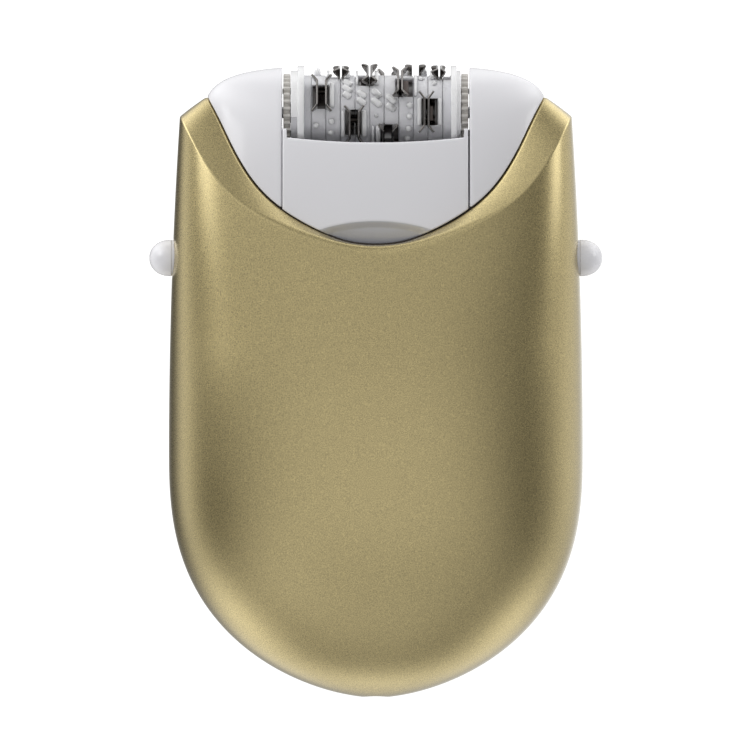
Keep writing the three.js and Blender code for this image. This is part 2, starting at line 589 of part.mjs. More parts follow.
// A comb is the moving plates of one set, on two push rods that end beside the cam roller.
function comb(side, set) {
  const mine = JOINTS.filter((j) => j.side === side && j.set === set);
  const reach = side * (16.3 - (set === "a" ? 0 : OPEN_MORE));
  const inner = side < 0 ? Math.max(...mine.map(movingX)) + 0.1 : Math.min(...mine.map(movingX)) - 0.1;
  return union(mine.map(movingPlate)).add(rods(set, 0.55, Math.min(reach, inner), Math.max(reach, inner)));
}

// ---------------------------------------------------------------- gears
// Straight-flanked teeth with backlash; phase is the angle of a tooth from +Y.
function gearOutline(teeth, m, phase) {
  const r = (teeth * m) / 2,
    tip = r + 0.92 * m,
    root = r - 1.2 * m,
    pts = [];
  for (let i = 0; i < teeth; i++) {
    const a = phase + (i * 2 * Math.PI) / teeth;
    const at = (rad, half) => [rad * Math.cos(a + half / rad), rad * Math.sin(a + half / rad)];
    pts.push(at(root, -0.92 * m), at(tip, -0.34 * m), at(tip, 0.34 * m), at(root, 0.92 * m));
  }
  return pts;
}
const gear = (teeth, m, phase, x0, x1, y, bore, n = 10) => prismX(gearOutline(teeth, m, phase), x0, x1, y, ZC, [circle(bore, n)]);
const drumGear = (x0, x1) => drill(gear(T_DRUM, MODULE_HEAD, Math.PI / T_DRUM, x0, x1, DRUM_Y, 1.25, 8), "ab", -20, 20);
const idlerGear = gear(T_IDLER, MODULE_HEAD, 0, ...GEAR_X, Y_IDLER, 0.95);
const outputGear = gear(T_OUT, MODULE_HEAD, Math.PI / T_OUT, ...GEAR_X, Y_OUT, 0.95);
const compoundGear = gear(T_SMALL, MODULE_HEAD, 0, GEAR_X[0], GEAR_Q[0] + 0.4, Y_COMP, 0.95)
  .add(gear(T_LARGE, MODULE_MOTOR, 0, ...GEAR_Q, Y_COMP, 0.95));
const pinion = gear(T_PINION, MODULE_MOTOR, Math.PI / T_PINION, -14.5, -11.3, Y_MOTOR, 1.06, 12);

// ---------------------------------------------------------------- handle internals
const motor = prismX(
  Array.from({ length: 20 }, (_, i) => {
    const a = (i / 20) * 2 * Math.PI;
    return [10.2 * Math.cos(a), Math.max(-7.7, Math.min(7.7, 10.2 * Math.sin(a)))];
  }),
  -8.9,
  16.5,
  Y_MOTOR,
)
  .add(cylX(3.0, -9.9, -8.8, Y_MOTOR, ZC, 16))
  .add(cylX(3.0, 16.4, 17.2, Y_MOTOR, ZC, 16))
  .subtract(cylX(1.25, -12, 20, Y_MOTOR, ZC, 12));
const motorShaft = cylX(1.0, -15.0, 18.2, Y_MOTOR, ZC, 12);
const chassis = union([
  box(-21.5, 21.5, -36, 19.6, 6.6, 8.0), // tray
  box(-19.6, -17.9, -2, 26.2, 6.8, ZC + 3.2), // gear wall
  box(-10.6, -9.1, -6.5, 19.4, 6.8, ZC + 9.5), // motor wall
  box(17.4, 18.8, -5, 15.4, 6.8, ZC + 6), // motor end stop
  box(-20.5, 20.5, 19.0, 20.4, 6.7, ZC + 9.4), // deck under the head
  box(-27.4, -26.0, -31, -21, 8.6, ZC + 5.5), // battery end walls
  box(26.0, 27.4, -31, -21, 8.6, ZC + 5.5),
  box(-27.4, -21.0, -31, -21, 7.7, 9.2),
  box(21.0, 27.4, -31, -21, 7.7, 9.2),
])
  .subtract(cylX(3.3, -12, -8, Y_MOTOR, ZC, 14))
  .subtract(cylX(1.6, 17, 20, Y_MOTOR, ZC, 12))
  .subtract(cylX(0.83, -21, -8, Y_COMP, ZC, 10))
  .subtract(cylX(0.83, -21, -17, Y_OUT, ZC, 10))
  .subtract(box(-17.8, -11.9, 18, 21, ZC - 9.0, ZC + 9.0));
const battery = union([cylX(7.0, -24.4, 23.3, -26, ZC, 18), cylX(2.6, 23.2, 24.4, -26, ZC, 10)]);
const contact = (s) => box(Math.min(s * 24.9, s * 25.4), Math.max(s * 24.9, s * 25.4), -31, -21, 9.6, ZC + 5).add(box(Math.min(s * 24.9, s * 25.8), Math.max(s * 24.9, s * 25.8), -27.5, -24.5, ZC - 1.5, ZC + 1.5));
const board = box(-12, 12, -40, 16.5, 4.7, 5.9);
const switchBody = box(-5, 5, SWITCH_Y - 7.5, SWITCH_Y + 4.4, 3.05, 4.6).subtract(box(-1.6, 1.6, SWITCH_Y - 4.4, SWITCH_Y + 4.2, 2, 4.2));
// The knob starts at its lower stop and slides 5 mm towards the head.
const knobY = SWITCH_Y - 2.5;
const powerKnob = union([
  box(-3.4, 3.4, knobY - 3.6, knobY + 3.6, 0.95, 1.95),
  ...[-2.4, -0.8, 0.8, 2.4].map((d) => box(-2.9, 2.9, knobY + d - 0.3, knobY + d + 0.3, 0.5, 1.1)),
  box(-1.2, 1.2, knobY - 1.3, knobY + 1.3, 1.8, 3.9),
]);
const jack = box(-4.2, 4.2, -52.2, -43, ZC - 3.8, ZC + 3.8)
  .add(cylY(2.15, -53.6, -52, 0, ZC, 16))
  .subtract(cylY(1.75, -55, -45, 0, ZC, 12))
  .add(cylY(0.5, -52.8, -44.5, 0, ZC, 8));
const ledLens = cylZ(1.25, 0.25, 3.2, 0, -3, 12).add(cylZ(1.9, 2.6, 4.5, 0, -3, 12));
const screw = ([x, y]) => cylZ(2.2, 5.0, 7.2, x, y, 10).add(cylZ(0.9, 7.1, ZC + 8.4, x, y, 6)).subtract(box(x - 3, x + 3, y - 0.3, y + 0.3, 4, 5.8));
// Release buttons: a dome and neck outside, a flange against the cover wall and a stem.
function button(s) {
  const profile = [
    [0, 23.6],
    [1.6, 23.6],
    [1.6, 31.0],
    [4.2, 31.0],
    [4.2, 32.0],
    [3.0, 32.0],
    [3.0, 35.9],
    [3.2, 36.4],
    [3.1, 37.3],
    [2.6, 38.35],
    [1.6, 39.2],
    [0, BUTTON_TIP],
  ];
  const g = new THREE.LatheGeometry(
    profile.map(([r, x]) => new THREE.Vector2(r, x)),
    14,
  );
  const m = solid(g, basis(V(0, 1, 0).negate(), V(1, 0, 0), V(0, 0, 1), V(0, BUTTON_Y, ZC)));
  return s > 0 ? m : mirrorX(m);
}
function spring(s) {
  const turns = 4,
    pts = [];
  for (let i = 0; i <= turns * 8; i++) {
    const a = (i / 8) * 2 * Math.PI;
    pts.push(V(26.1 + (4.4 * i) / (turns * 8), BUTTON_Y + 2.6 * Math.cos(a), ZC + 2.6 * Math.sin(a)));
  }
  const shape = new THREE.Shape(circle(0.32, 5).map((p) => new THREE.Vector2(...p)));
  const g = new THREE.ExtrudeGeometry(shape, { steps: 28, bevelEnabled: false, extrudePath: new THREE.CatmullRomCurve3(pts) });
  let m = solid(g);
  return s > 0 ? m : mirrorX(m);
}
function roller(s) {
  return cylY(2.0, 50.05, 51.55, s * 18.6, ZC, 16).add(cylY(0.6, 49.2, 52.4, s * 18.6, ZC, 8));
}

// ---------------------------------------------------------------- scene graph
const material = (color, roughness, metalness = 0) => new THREE.MeshStandardMaterial({ color, roughness, metalness });
const GOLD = material(0xb3a26c, 0.36, 0.75),
  WHITE = material(0xe9e9ee, 0.18),
  DRUM_WHITE = material(0xe4e6ee, 0.3),
  IVORY = material(0xc9bda9, 0.45),
  STEEL = material(0x6d6660, 0.28, 1),
  BRIGHT = material(0xb8bcc2, 0.25, 1),
  BRASS = material(0xc9a14b, 0.3, 1),
  GREY = material(0x8d9196, 0.5),
  GREEN = material(0x1d6a3c, 0.45),
  DARK = material(0x26282b, 0.45),
  CELL = material(0x3a6fa8, 0.35),
  LENS = material(0xbfe3c4, 0.1);
const epilator = new THREE.Group(),
  handle = new THREE.Group(),
  head = new THREE.Group(),
  drum = new THREE.Group();
epilator.add(handle, head);
head.add(drum);
function add(group, name, m, mat) {
  const mesh = new THREE.Mesh(geometryOf(m), mat);
  mesh.name = name;
  group.add(mesh);
}
add(handle, "front_cover", frontCover, GOLD);
add(handle, "rear_cover", rearCover, GOLD);
add(handle, "chassis", chassis, GREY);
add(handle, "motor", motor, BRIGHT);
add(handle, "motor_shaft", motorShaft, BRIGHT);
add(handle, "motor_pinion", pinion, BRASS);
add(handle, "compound_gear", compoundGear, IVORY);
add(handle, "compound_axle", cylX(0.75, -19.5, -9.4, Y_COMP, ZC, 10), BRIGHT);
add(handle, "output_gear", outputGear, IVORY);
add(handle, "output_axle", cylX(0.75, -19.5, -14.7, Y_OUT, ZC, 10), BRIGHT);
add(handle, "battery_cell", battery, CELL);
add(handle, "battery_contact_left", contact(-1), BRIGHT);
add(handle, "battery_contact_right", contact(1), BRIGHT);
add(handle, "circuit_board", board, GREEN);
add(handle, "power_switch", switchBody, DARK);
add(handle, "power_knob", powerKnob, WHITE);
add(handle, "charging_socket", jack, DARK);
add(handle, "charge_light_lens", ledLens, LENS);
SCREWS.forEach((p, i) => add(handle, "cover_screw_" + (i + 1), screw(p), BRIGHT));
add(handle, "release_button_left", button(-1), WHITE);
add(handle, "release_button_right", button(1), WHITE);
add(handle, "button_spring_left", spring(-1), BRIGHT);
add(handle, "button_spring_right", spring(1), BRIGHT);
add(head, "head_housing", headHousing, WHITE);
add(head, "front_apron", frontApron, WHITE);
add(head, "rear_apron", rearApron, WHITE);
add(head, "drum_axle", cylX(1.0, -18.1, 18.1, DRUM_Y, ZC, 16), BRIGHT);
add(head, "idler_gear", idlerGear, IVORY);
add(head, "idler_axle", cylX(0.75, -18.1, -10.7, Y_IDLER, ZC, 12), BRIGHT);
add(head, "cam_roller_left", roller(-1), BRIGHT);
add(head, "cam_roller_right", roller(1), BRIGHT);
for (let i = 1; i <= 9; i++) add(drum, "drum_disc_" + i, disc(i), DRUM_WHITE);
add(drum, "drum_end_left", endDisc(-1), DRUM_WHITE);
add(drum, "drum_end_right", endDisc(1), DRUM_WHITE);
add(drum, "drum_gear_left", drumGear(-16.15, -14.95), IVORY);
add(drum, "drum_gear_right", drumGear(14.95, 16.15), IVORY);
JOINTS.forEach((j, i) => add(drum, "tweezer_plate_" + (i + 1), fixedPlate(j), STEEL));
add(drum, "tweezer_comb_left_a", comb(-1, "a"), STEEL);
add(drum, "tweezer_comb_left_b", comb(-1, "b"), STEEL);
add(drum, "tweezer_comb_right_a", comb(1, "a"), STEEL);
add(drum, "tweezer_comb_right_b", comb(1, "b"), STEEL);

export default epilator;
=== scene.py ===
import json
import math

import bpy
import numpy as np
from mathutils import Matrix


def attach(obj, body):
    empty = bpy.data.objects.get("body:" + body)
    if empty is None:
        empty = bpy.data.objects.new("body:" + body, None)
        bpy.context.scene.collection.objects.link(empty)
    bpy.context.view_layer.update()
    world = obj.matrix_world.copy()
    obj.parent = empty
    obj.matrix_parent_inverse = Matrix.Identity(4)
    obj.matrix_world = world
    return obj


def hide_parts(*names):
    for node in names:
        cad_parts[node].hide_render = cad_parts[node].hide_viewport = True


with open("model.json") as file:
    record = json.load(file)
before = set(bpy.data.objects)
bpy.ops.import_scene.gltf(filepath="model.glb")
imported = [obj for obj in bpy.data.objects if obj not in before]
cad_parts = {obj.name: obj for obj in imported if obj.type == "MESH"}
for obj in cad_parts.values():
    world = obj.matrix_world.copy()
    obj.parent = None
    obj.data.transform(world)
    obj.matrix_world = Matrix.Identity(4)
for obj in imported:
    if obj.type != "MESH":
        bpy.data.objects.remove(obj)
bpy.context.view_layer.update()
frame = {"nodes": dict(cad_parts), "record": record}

MM = 0.001

# ------------------------------------------------------------------ dimensions
ZC = 16.5
Y_WIDE = -12.5
Y_BOT = -55.5
HALF_W = 36.2
N_BODY = 2.4
N_HEAD = 2.25
HEAD_W = 30.0
HEAD_TOP = 55.04
PILLAR_X = 16.4
DRUM_Y = 46.9
R_DISC = 6.5
DISC_PITCH = 2.546
DISC_SHIFT = 0.2
BLADE_T = 0.38
TRAVEL = 1.16
PART_OPEN = 0.28
OPEN_MORE = 0.75
ROD_R = 3.9
CLOSED = 0.4
BUTTON_Y = 21.44
BUTTON_TIP = 39.64
SEAM = 0.06
GAP = 0.07
SCREWS = [(-17, -42), (17, -42), (-27, 5), (27, 5)]
SWITCH_Y = 12.0

CREASE = [[0, 23.3], [6, 24.0], [12, 25.55], [18.2, 27.9], [24.0, 31.3], [28.9, 36.6], [32.0, 41.8], [34.33, 46.2]]
EDGE = [[0, 23.6], [5.7, 24.3], [9.5, 25.75], [13.3, 27.65], [17.0, 30.1], [20.3, 33.1], [23.1, 36.8], [25.8, 41.7], [28.2, 46.6], [29.85, 49.5]]


def both(points):
    return [[-x, y] for x, y in reversed(points[1:])] + points


def spline(points, count=4001):
    """A natural cubic spline by chord length, sampled at count even steps."""
    p = np.array(points, float)
    t = np.concatenate([[0], np.cumsum(np.hypot(*np.diff(p, axis=0).T))])
    h = np.diff(t)
    n = len(p)
    a = np.eye(n)
    rhs = np.zeros((n, 2))
    for i in range(1, n - 1):
        a[i, i - 1], a[i, i], a[i, i + 1] = h[i - 1], 2 * (h[i - 1] + h[i]), h[i]
        rhs[i] = 6 * ((p[i + 1] - p[i]) / h[i] - (p[i] - p[i - 1]) / h[i - 1])
    m = np.linalg.solve(a, rhs)
    s = np.linspace(0, t[-1], count)
    i = np.clip(np.searchsorted(t, s, "right") - 1, 0, n - 2)
    A = ((t[i + 1] - s) / h[i])[:, None]
    B = 1 - A
    hh = (h[i] ** 2)[:, None]
    return A * p[i] + B * p[i + 1] + ((A**3 - A) * m[i] + (B**3 - B) * m[i + 1]) * hh / 6


def soft_plus(y):
    return (np.sqrt((y + 2) ** 2 + 144) + (y + 2)) / 2


def bottom_round(y, p, q, bot):
    t = np.clip((Y_WIDE - y) / (Y_WIDE - bot), 0, 1)
    return np.power(np.maximum(0, 1 - t**p), q)


def half_width(y, inset=0.0):
    y = np.asarray(y, float)
    w = HALF_W - inset
    upper = w - 1.9 * ((y - Y_WIDE) / 58.6) ** 2
    return np.where(y > Y_WIDE, upper, w * bottom_round(y, 2.65, 0.58, Y_BOT + inset))


def depth(y, inset=0.0):
    y = np.asarray(y, float)
    return (18.9 - 0.165 * soft_plus(y) - inset) * bottom_round(y, 2.6, 0.5, Y_BOT + inset)


def body_n(y):
    """The squareness of the body's section, which grows towards the shoulders."""
    t = np.clip((np.asarray(y, float) - 6) / 38, 0, 1)
    return N_BODY + 0.5 * t * t * (3 - 2 * t)


def sec(s, n):
    return np.power(np.maximum(0, 1 - np.minimum(1, np.abs(s)) ** n), 1 / n)


def head_half(y):
    t = np.clip((np.asarray(y, float) - 46) / (HEAD_TOP - 46), 0, 1)
    return HEAD_W * np.power(1 - t**3, 0.25)


def head_depth(y):
    y = np.asarray(y, float)
    t = np.clip((y - 30) / (HEAD_TOP - 30), 0, 1)
    return (12.6 - 0.07 * (y - 23)) * np.sqrt(1 - t**3)


def head_skin(x, y):
    return head_depth(y) * sec(x / head_half(y), N_HEAD)


CREASE_PTS = spline(both(CREASE))
EDGE_PTS = spline(both(EDGE))
EDGE_T = np.linspace(0, 1, len(EDGE_PTS))


def edge_y(x):
    return np.interp(np.abs(x), EDGE_PTS[2000:, 0], EDGE_PTS[2000:, 1])


def head_skin_below(x, y):
    return head_skin(x, np.maximum(y, edge_y(x)))


# The rim of the head's face plate: the edge of the scoop, moved in by the gap beside it.
def offset_edge(gap):
    d = np.gradient(EDGE_PTS, axis=0)
    d /= np.linalg.norm(d, axis=1)[:, None]
    normal = np.stack([-d[:, 1], d[:, 0]], 1)
    return EDGE_PTS + gap * normal


PLATE_GAP = 0.3
RIM = offset_edge(PLATE_GAP)[2000:]


# ------------------------------------------------------------------ mesh helpers
def make(name, verts, faces, body, mat, slot, nodes=(), sharp=38.0, merge=2e-7, flip=False):
    """A mesh object from points in millimetres, riding on a body."""
    me = bpy.data.meshes.new(name)
    me.from_pydata((np.asarray(verts, float) * MM).tolist(), [], faces)
    return finish_mesh(me, name, body, mat, slot, nodes, sharp, merge)


def finish_mesh(me, name, body, mat, slot, nodes=(), sharp=38.0, merge=2e-7):
    import bmesh

    bm = bmesh.new()
    bm.from_mesh(me)
    if merge:
        bmesh.ops.remove_doubles(bm, verts=bm.verts, dist=merge)
        bmesh.ops.dissolve_degenerate(bm, dist=merge, edges=bm.edges)
    bmesh.ops.recalc_face_normals(bm, faces=bm.faces)
    bm.to_mesh(me)
    bm.free()
    me.polygons.foreach_set("use_smooth", [True] * len(me.polygons))
    me.set_sharp_from_angle(angle=math.radians(sharp))
    me.update()
    ob = bpy.data.objects.new(name, me)
    bpy.context.scene.collection.objects.link(ob)
    me.materials.clear()
    me.materials.append(mat)
    if body:
        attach(ob, body)
        if nodes:
            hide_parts(*nodes)
    return ob


def grid_faces(nu, nv, base=0, close_u=False, close_v=False):
    """Quads of a grid of nu by nv points, stored row by row along u."""
    iu = np.arange(nu if close_u else nu - 1)
    iv = np.arange(nv if close_v else nv - 1)
    a, b = np.meshgrid(iu, iv, indexing="ij")
    a1, b1 = (a + 1) % nu, (b + 1) % nv
    q = np.stack([a * nv + b, a1 * nv + b, a1 * nv + b1, a * nv + b1], -1).reshape(-1, 4) + base
    return q.tolist()


def parts_join(parts):
    """Several (verts, faces) as one."""
    vs, fs, n = [], [], 0
    for v, f in parts:
        v = np.asarray(v, float).reshape(-1, 3)
        vs.append(v)
        fs += [[i + n for i in face] for face in f]
        n += len(v)
    return np.concatenate(vs), fs


def loops(rows, cap=True):
    """A closed solid through rings of points, rows[i] running round ring i."""
    rows = np.asarray(rows, float)
    n, m = rows.shape[:2]
    faces = grid_faces(n, m, close_v=True)
    if cap:
        faces.append(list(range(m)))
        faces.append([(n - 1) * m + i for i in reversed(range(m))])
    return rows.reshape(-1, 3), faces


def lathe(profile, axis, centre, seg=64, closed=False):
    """Turns a profile of (radius, place along the axis) about the axis through centre."""
    p = np.array(profile, float)
    a = np.linspace(0, 2 * np.pi, seg, endpoint=False)
    c, s = np.cos(a), np.sin(a)
    r = p[:, 0][:, None]
    h = np.repeat(p[:, 1][:, None], seg, 1)
    u, v = r * c, r * s
    k = "xyz".index(axis)
    out = np.zeros((len(p), seg, 3))
    out[..., k] = h
    out[..., (k + 1) % 3] = u
    out[..., (k + 2) % 3] = v
    out += np.array(centre, float)
    if closed:
        return out.reshape(-1, 3), grid_faces(len(p), seg, close_u=True, close_v=True)
    return loops(out)


def rounded(profile, radii, steps=5):
    """A polyline with its inner corners rounded: radii holds the reach of each corner."""
    p = [np.array(q, float) for q in profile]
    out = [p[0]]
    for i in range(1, len(p) - 1):
        r = radii[i] if hasattr(radii, "__len__") else radii
        if r <= 0:
            out.append(p[i])
            continue
        a, b = p[i - 1] - p[i], p[i + 1] - p[i]
        la, lb = np.linalg.norm(a), np.linalg.norm(b)
        r = min(r, la * 0.45, lb * 0.45)
        s, e = p[i] + a / la * r, p[i] + b / lb * r
        for t in np.linspace(0, 1, steps + 1):
            out.append((1 - t) ** 2 * s + 2 * t * (1 - t) * p[i] + t * t * e)
    out.append(p[-1])
    return out


def box_loops(x0, x1, y0, y1, z0, z1, r=0.3, steps=3):
    """A box whose edges are all rounded."""
    hx, hy, hz = (x1 - x0) / 2, (y1 - y0) / 2, (z1 - z0) / 2
    r = min(r, hx * 0.98, hy * 0.98, hz * 0.98)
    ring = []
    for sx, sy, a0 in ((1, 1, 0), (-1, 1, 90), (-1, -1, 180), (1, -1, 270)):
        for k in range(steps + 1):
            a = math.radians(a0 + 90 * k / steps)
            ring.append((sx * (hx - r), sy * (hy - r), math.cos(a), math.sin(a)))
    rows = []
    for i in range(steps + 1):
        b = math.radians(90 * i / steps)
        rows.append([(cx + r * math.sin(b) * c, cy + r * math.sin(b) * s, -hz + r - r * math.cos(b)) for cx, cy, c, s in ring])
    for i in range(steps + 1):
        b = math.radians(90 - 90 * i / steps)
        rows.append([(cx + r * math.sin(b) * c, cy + r * math.sin(b) * s, hz - r + r * math.cos(b)) for cx, cy, c, s in ring])
    rows = np.array(rows) + np.array([(x0 + x1) / 2, (y0 + y1) / 2, (z0 + z1) / 2])
    return loops(rows)


def bezier(a, b, c, steps):
    """Points strictly between a and c on the curve with corner b; arrays of points."""
    t = (np.arange(1, steps) / steps)[:, None, None]
    a, b, c = a[None], b[None], c[None]
    return (1 - t) ** 2 * a + 2 * t * (1 - t) * b + t * t * c


def cut(ob, cutters):
    """Takes closed shapes, given as (verts, faces) in millimetres, out of an object."""
    for i, (v, f) in enumerate(cutters):
        me = bpy.data.meshes.new("cutter")
        me.from_pydata((np.asarray(v, float) * MM).tolist(), [], f)
        import bmesh

        bm = bmesh.new()
        bm.from_mesh(me)
        bmesh.ops.recalc_face_normals(bm, faces=bm.faces)
        bm.to_mesh(me)
        bm.free()
        c = bpy.data.objects.new("cutter", me)
        bpy.context.scene.collection.objects.link(c)
        m = ob.modifiers.new("cut", "BOOLEAN")
        m.operation = "DIFFERENCE"
        m.solver = "EXACT"
        m.object = c
        bpy.context.view_layer.update()
        dg = bpy.context.evaluated_depsgraph_get()
        new = bpy.data.meshes.new_from_object(ob.evaluated_get(dg))
        ob.modifiers.clear()
        old = ob.data
        ob.data = new
        bpy.data.meshes.remove(old)
        bpy.data.objects.remove(c)
        bpy.data.meshes.remove(me)
    return ob


def refresh(ob, sharp=38.0):
    """Smooth shading with sharp edges by angle, after a cut."""
    me = ob.data
    me.polygons.foreach_set("use_smooth", [True] * len(me.polygons))
    me.set_sharp_from_angle(angle=math.radians(sharp))
    me.update()


# ------------------------------------------------------------------ materials
def new_material(name):
    m = bpy.data.materials.new(name)
    m.use_nodes = True
    nt = m.node_tree
    bsdf = nt.nodes["Principled BSDF"]
    return m, nt, bsdf


def noise(nt, scale, detail=3.0, rough=0.55, stretch=None):
    tc = nt.nodes.new("ShaderNodeTexCoord")
    n = nt.nodes.new("ShaderNodeTexNoise")
    n.inputs["Scale"].default_value = scale
    n.inputs["Detail"].default_value = detail
    n.inputs["Roughness"].default_value = rough
    if stretch:
        mp = nt.nodes.new("ShaderNodeMapping")
        mp.inputs["Scale"].default_value = stretch
        nt.links.new(tc.outputs["Object"], mp.inputs["Vector"])
        nt.links.new(mp.outputs["Vector"], n.inputs["Vector"])
    else:
        nt.links.new(tc.outputs["Object"], n.inputs["Vector"])
    return n.outputs["Fac"]


def ramp(nt, fac, stops):
    r = nt.nodes.new("ShaderNodeValToRGB")
    r.color_ramp.elements[0].position = stops[0][0]
    r.color_ramp.elements[0].color = (*stops[0][1], 1)
    r.color_ramp.elements[1].position = stops[-1][0]
    r.color_ramp.elements[1].color = (*stops[-1][1], 1)
    for pos, col in stops[1:-1]:
        e = r.color_ramp.elements.new(pos)
        e.color = (*col, 1)
    nt.links.new(fac, r.inputs["Fac"])
    return r.outputs["Color"]


def spread(nt, fac, low, high, at=(0.3, 0.7)):
    m = nt.nodes.new("ShaderNodeMapRange")
    m.inputs["From Min"].default_value = at[0]
    m.inputs["From Max"].default_value = at[1]
    m.inputs["To Min"].default_value = low
    m.inputs["To Max"].default_value = high
    nt.links.new(fac, m.inputs["Value"])
    return m.outputs["Result"]


def bump(nt, bsdf, fac, strength, distance, after=None):
    b = nt.nodes.new("ShaderNodeBump")
    b.inputs["Strength"].default_value = strength
    b.inputs["Distance"].default_value = distance
    nt.links.new(fac, b.inputs["Height"])
    if after is not None:
        nt.links.new(after, b.inputs["Normal"])
    nt.links.new(b.outputs["Normal"], bsdf.inputs["Normal"])
    return b.outputs["Normal"]


def shade(c, k):
    return tuple(max(0.0, min(1.0, v * k)) for v in c)


def plastic(name, colour, rough, coat=0.0, vary=0.03, bump_d=4e-6, scale=900.0, spec=0.5, tint=None):
    """Moulded plastic: a slow drift of colour, a fine skin and a little unevenness of gloss."""
    m, nt, b = new_material(name)
    slow = noise(nt, 60.0, 2.0)
    nt.links.new(ramp(nt, slow, [(0.3, shade(colour, 1 - vary)), (0.7, tint or shade(colour, 1 + vary))]), b.inputs["Base Color"])
    nt.links.new(spread(nt, noise(nt, 220.0, 3.0), rough * 0.96, rough * 1.05, (0.15, 0.85)), b.inputs["Roughness"])
    b.inputs["Specular IOR Level"].default_value = spec
    b.inputs["Coat Weight"].default_value = coat
    b.inputs["Coat Roughness"].default_value = 0.09
    bump(nt, b, noise(nt, scale, 3.0), 0.25, bump_d)
    return m


def metal(name, colour, rough, vary=0.12, bump_d=3e-6, scale=2500.0, stretch=None, metallic=1.0, patch=420.0):
    """Bare or brushed metal: fine streaks, stains and an uneven polish."""
    m, nt, b = new_material(name)
    slow = noise(nt, patch, 4.0, 0.65)
    nt.links.new(ramp(nt, slow, [(0.25, shade(colour, 1 - vary)), (0.75, shade(colour, 1 + vary))]), b.inputs["Base Color"])
    b.inputs["Metallic"].default_value = metallic
    nt.links.new(spread(nt, noise(nt, 700.0, 3.0), rough * 0.75, rough * 1.3), b.inputs["Roughness"])
    bump(nt, b, noise(nt, scale, 3.0, 0.6, stretch), 0.3, bump_d)
    return m


def gold_paint():
    """Satin metallic paint: fine flakes under a thin clear coat."""
    m, nt, b = new_material("gold_paint")
    base = (0.567, 0.4625, 0.208)
    flakes = noise(nt, 5200.0, 2.0, 0.7)
    cloud = noise(nt, 45.0, 2.0)
    fine = ramp(nt, flakes, [(0.28, shade(base, 0.66)), (0.5, base), (0.72, shade(base, 1.44))])
    slow = ramp(nt, cloud, [(0.3, (0.975, 0.97, 0.96)), (0.7, (1.0, 1.0, 1.0))])
    mix = nt.nodes.new("ShaderNodeMix")
    mix.data_type = "RGBA"
    mix.blend_type = "MULTIPLY"
    mix.inputs["Factor"].default_value = 1.0
    nt.links.new(fine, mix.inputs[6])
    nt.links.new(slow, mix.inputs[7])
    nt.links.new(mix.outputs[2], b.inputs["Base Color"])
    b.inputs["Metallic"].default_value = 0.94
    nt.links.new(spread(nt, flakes, 0.25, 0.33), b.inputs["Roughness"])
    b.inputs["Coat Weight"].default_value = 1.0
    b.inputs["Coat IOR"].default_value = 1.65
    b.inputs["Coat Roughness"].default_value = 0.25
    bump(nt, b, flakes, 0.3, 8e-6)
    return m


def drum_plastic():
    """White moulded plastic with painted shade and a painted highlight: the base colour turns dark brown towards the
    drum's axis, inside its windows, and is whiter on the guards, domes and ridges that stand proud of the rim.
    """
    m, nt, b = new_material("drum_white")
    colour = (0.83, 0.83, 0.87)
    # painted highlight: a whiter colour for the guards, domes and ridges that stand proud of the rim
    rim_painted_highlight = (0.95, 0.95, 0.965)
    tc = nt.nodes.new("ShaderNodeTexCoord")
    sub = nt.nodes.new("ShaderNodeVectorMath")
    sub.operation = "SUBTRACT"
    sub.inputs[1].default_value = (0, DRUM_Y * MM, ZC * MM)
    nt.links.new(tc.outputs["Object"], sub.inputs[0])
    mul = nt.nodes.new("ShaderNodeVectorMath")
    mul.operation = "MULTIPLY"
    mul.inputs[1].default_value = (0, 1, 1)
    nt.links.new(sub.outputs[0], mul.inputs[0])
    ln = nt.nodes.new("ShaderNodeVectorMath")
    ln.operation = "LENGTH"
    nt.links.new(mul.outputs[0], ln.inputs[0])
    # painted shade mask: 0 within 5.3 mm of the drum's axis, 1 beyond 6.4 mm
    window_painted_shade = spread(nt, ln.outputs["Value"], 0.0, 1.0, (0.0053, 0.0064))
    slow = ramp(nt, noise(nt, 260.0, 3.0), [(0.3, shade(colour, 0.965)), (0.7, shade(colour, 1.03))])
    high = nt.nodes.new("ShaderNodeMix")
    high.data_type = "RGBA"
    # painted highlight: the base colour turns whiter beyond 6.54 mm from the drum's axis
    nt.links.new(spread(nt, ln.outputs["Value"], 0.0, 1.0, (0.00654, 0.0067)), high.inputs["Factor"])
    nt.links.new(slow, high.inputs[6])
    high.inputs[7].default_value = (*rim_painted_highlight, 1)
    mix = nt.nodes.new("ShaderNodeMix")
    mix.data_type = "RGBA"
    # painted shade: dark brown base colour for the inside of the windows
    nt.links.new(window_painted_shade, mix.inputs["Factor"])
    mix.inputs[6].default_value = (0.17, 0.14, 0.125, 1)
    nt.links.new(high.outputs[2], mix.inputs[7])
    nt.links.new(mix.outputs[2], b.inputs["Base Color"])
    nt.links.new(spread(nt, noise(nt, 500.0, 3.0), 0.24, 0.36), b.inputs["Roughness"])
    b.inputs["Subsurface Weight"].default_value = 0.7
    b.inputs["Subsurface Radius"].default_value = (1.0, 1.0, 1.0)
    b.inputs["Subsurface Scale"].default_value = 0.002
    b.inputs["Coat Weight"].default_value = 0.8
    b.inputs["Coat Roughness"].default_value = 0.12
    bump(nt, b, noise(nt, 1500.0, 3.0), 0.25, 5e-6)
    return m


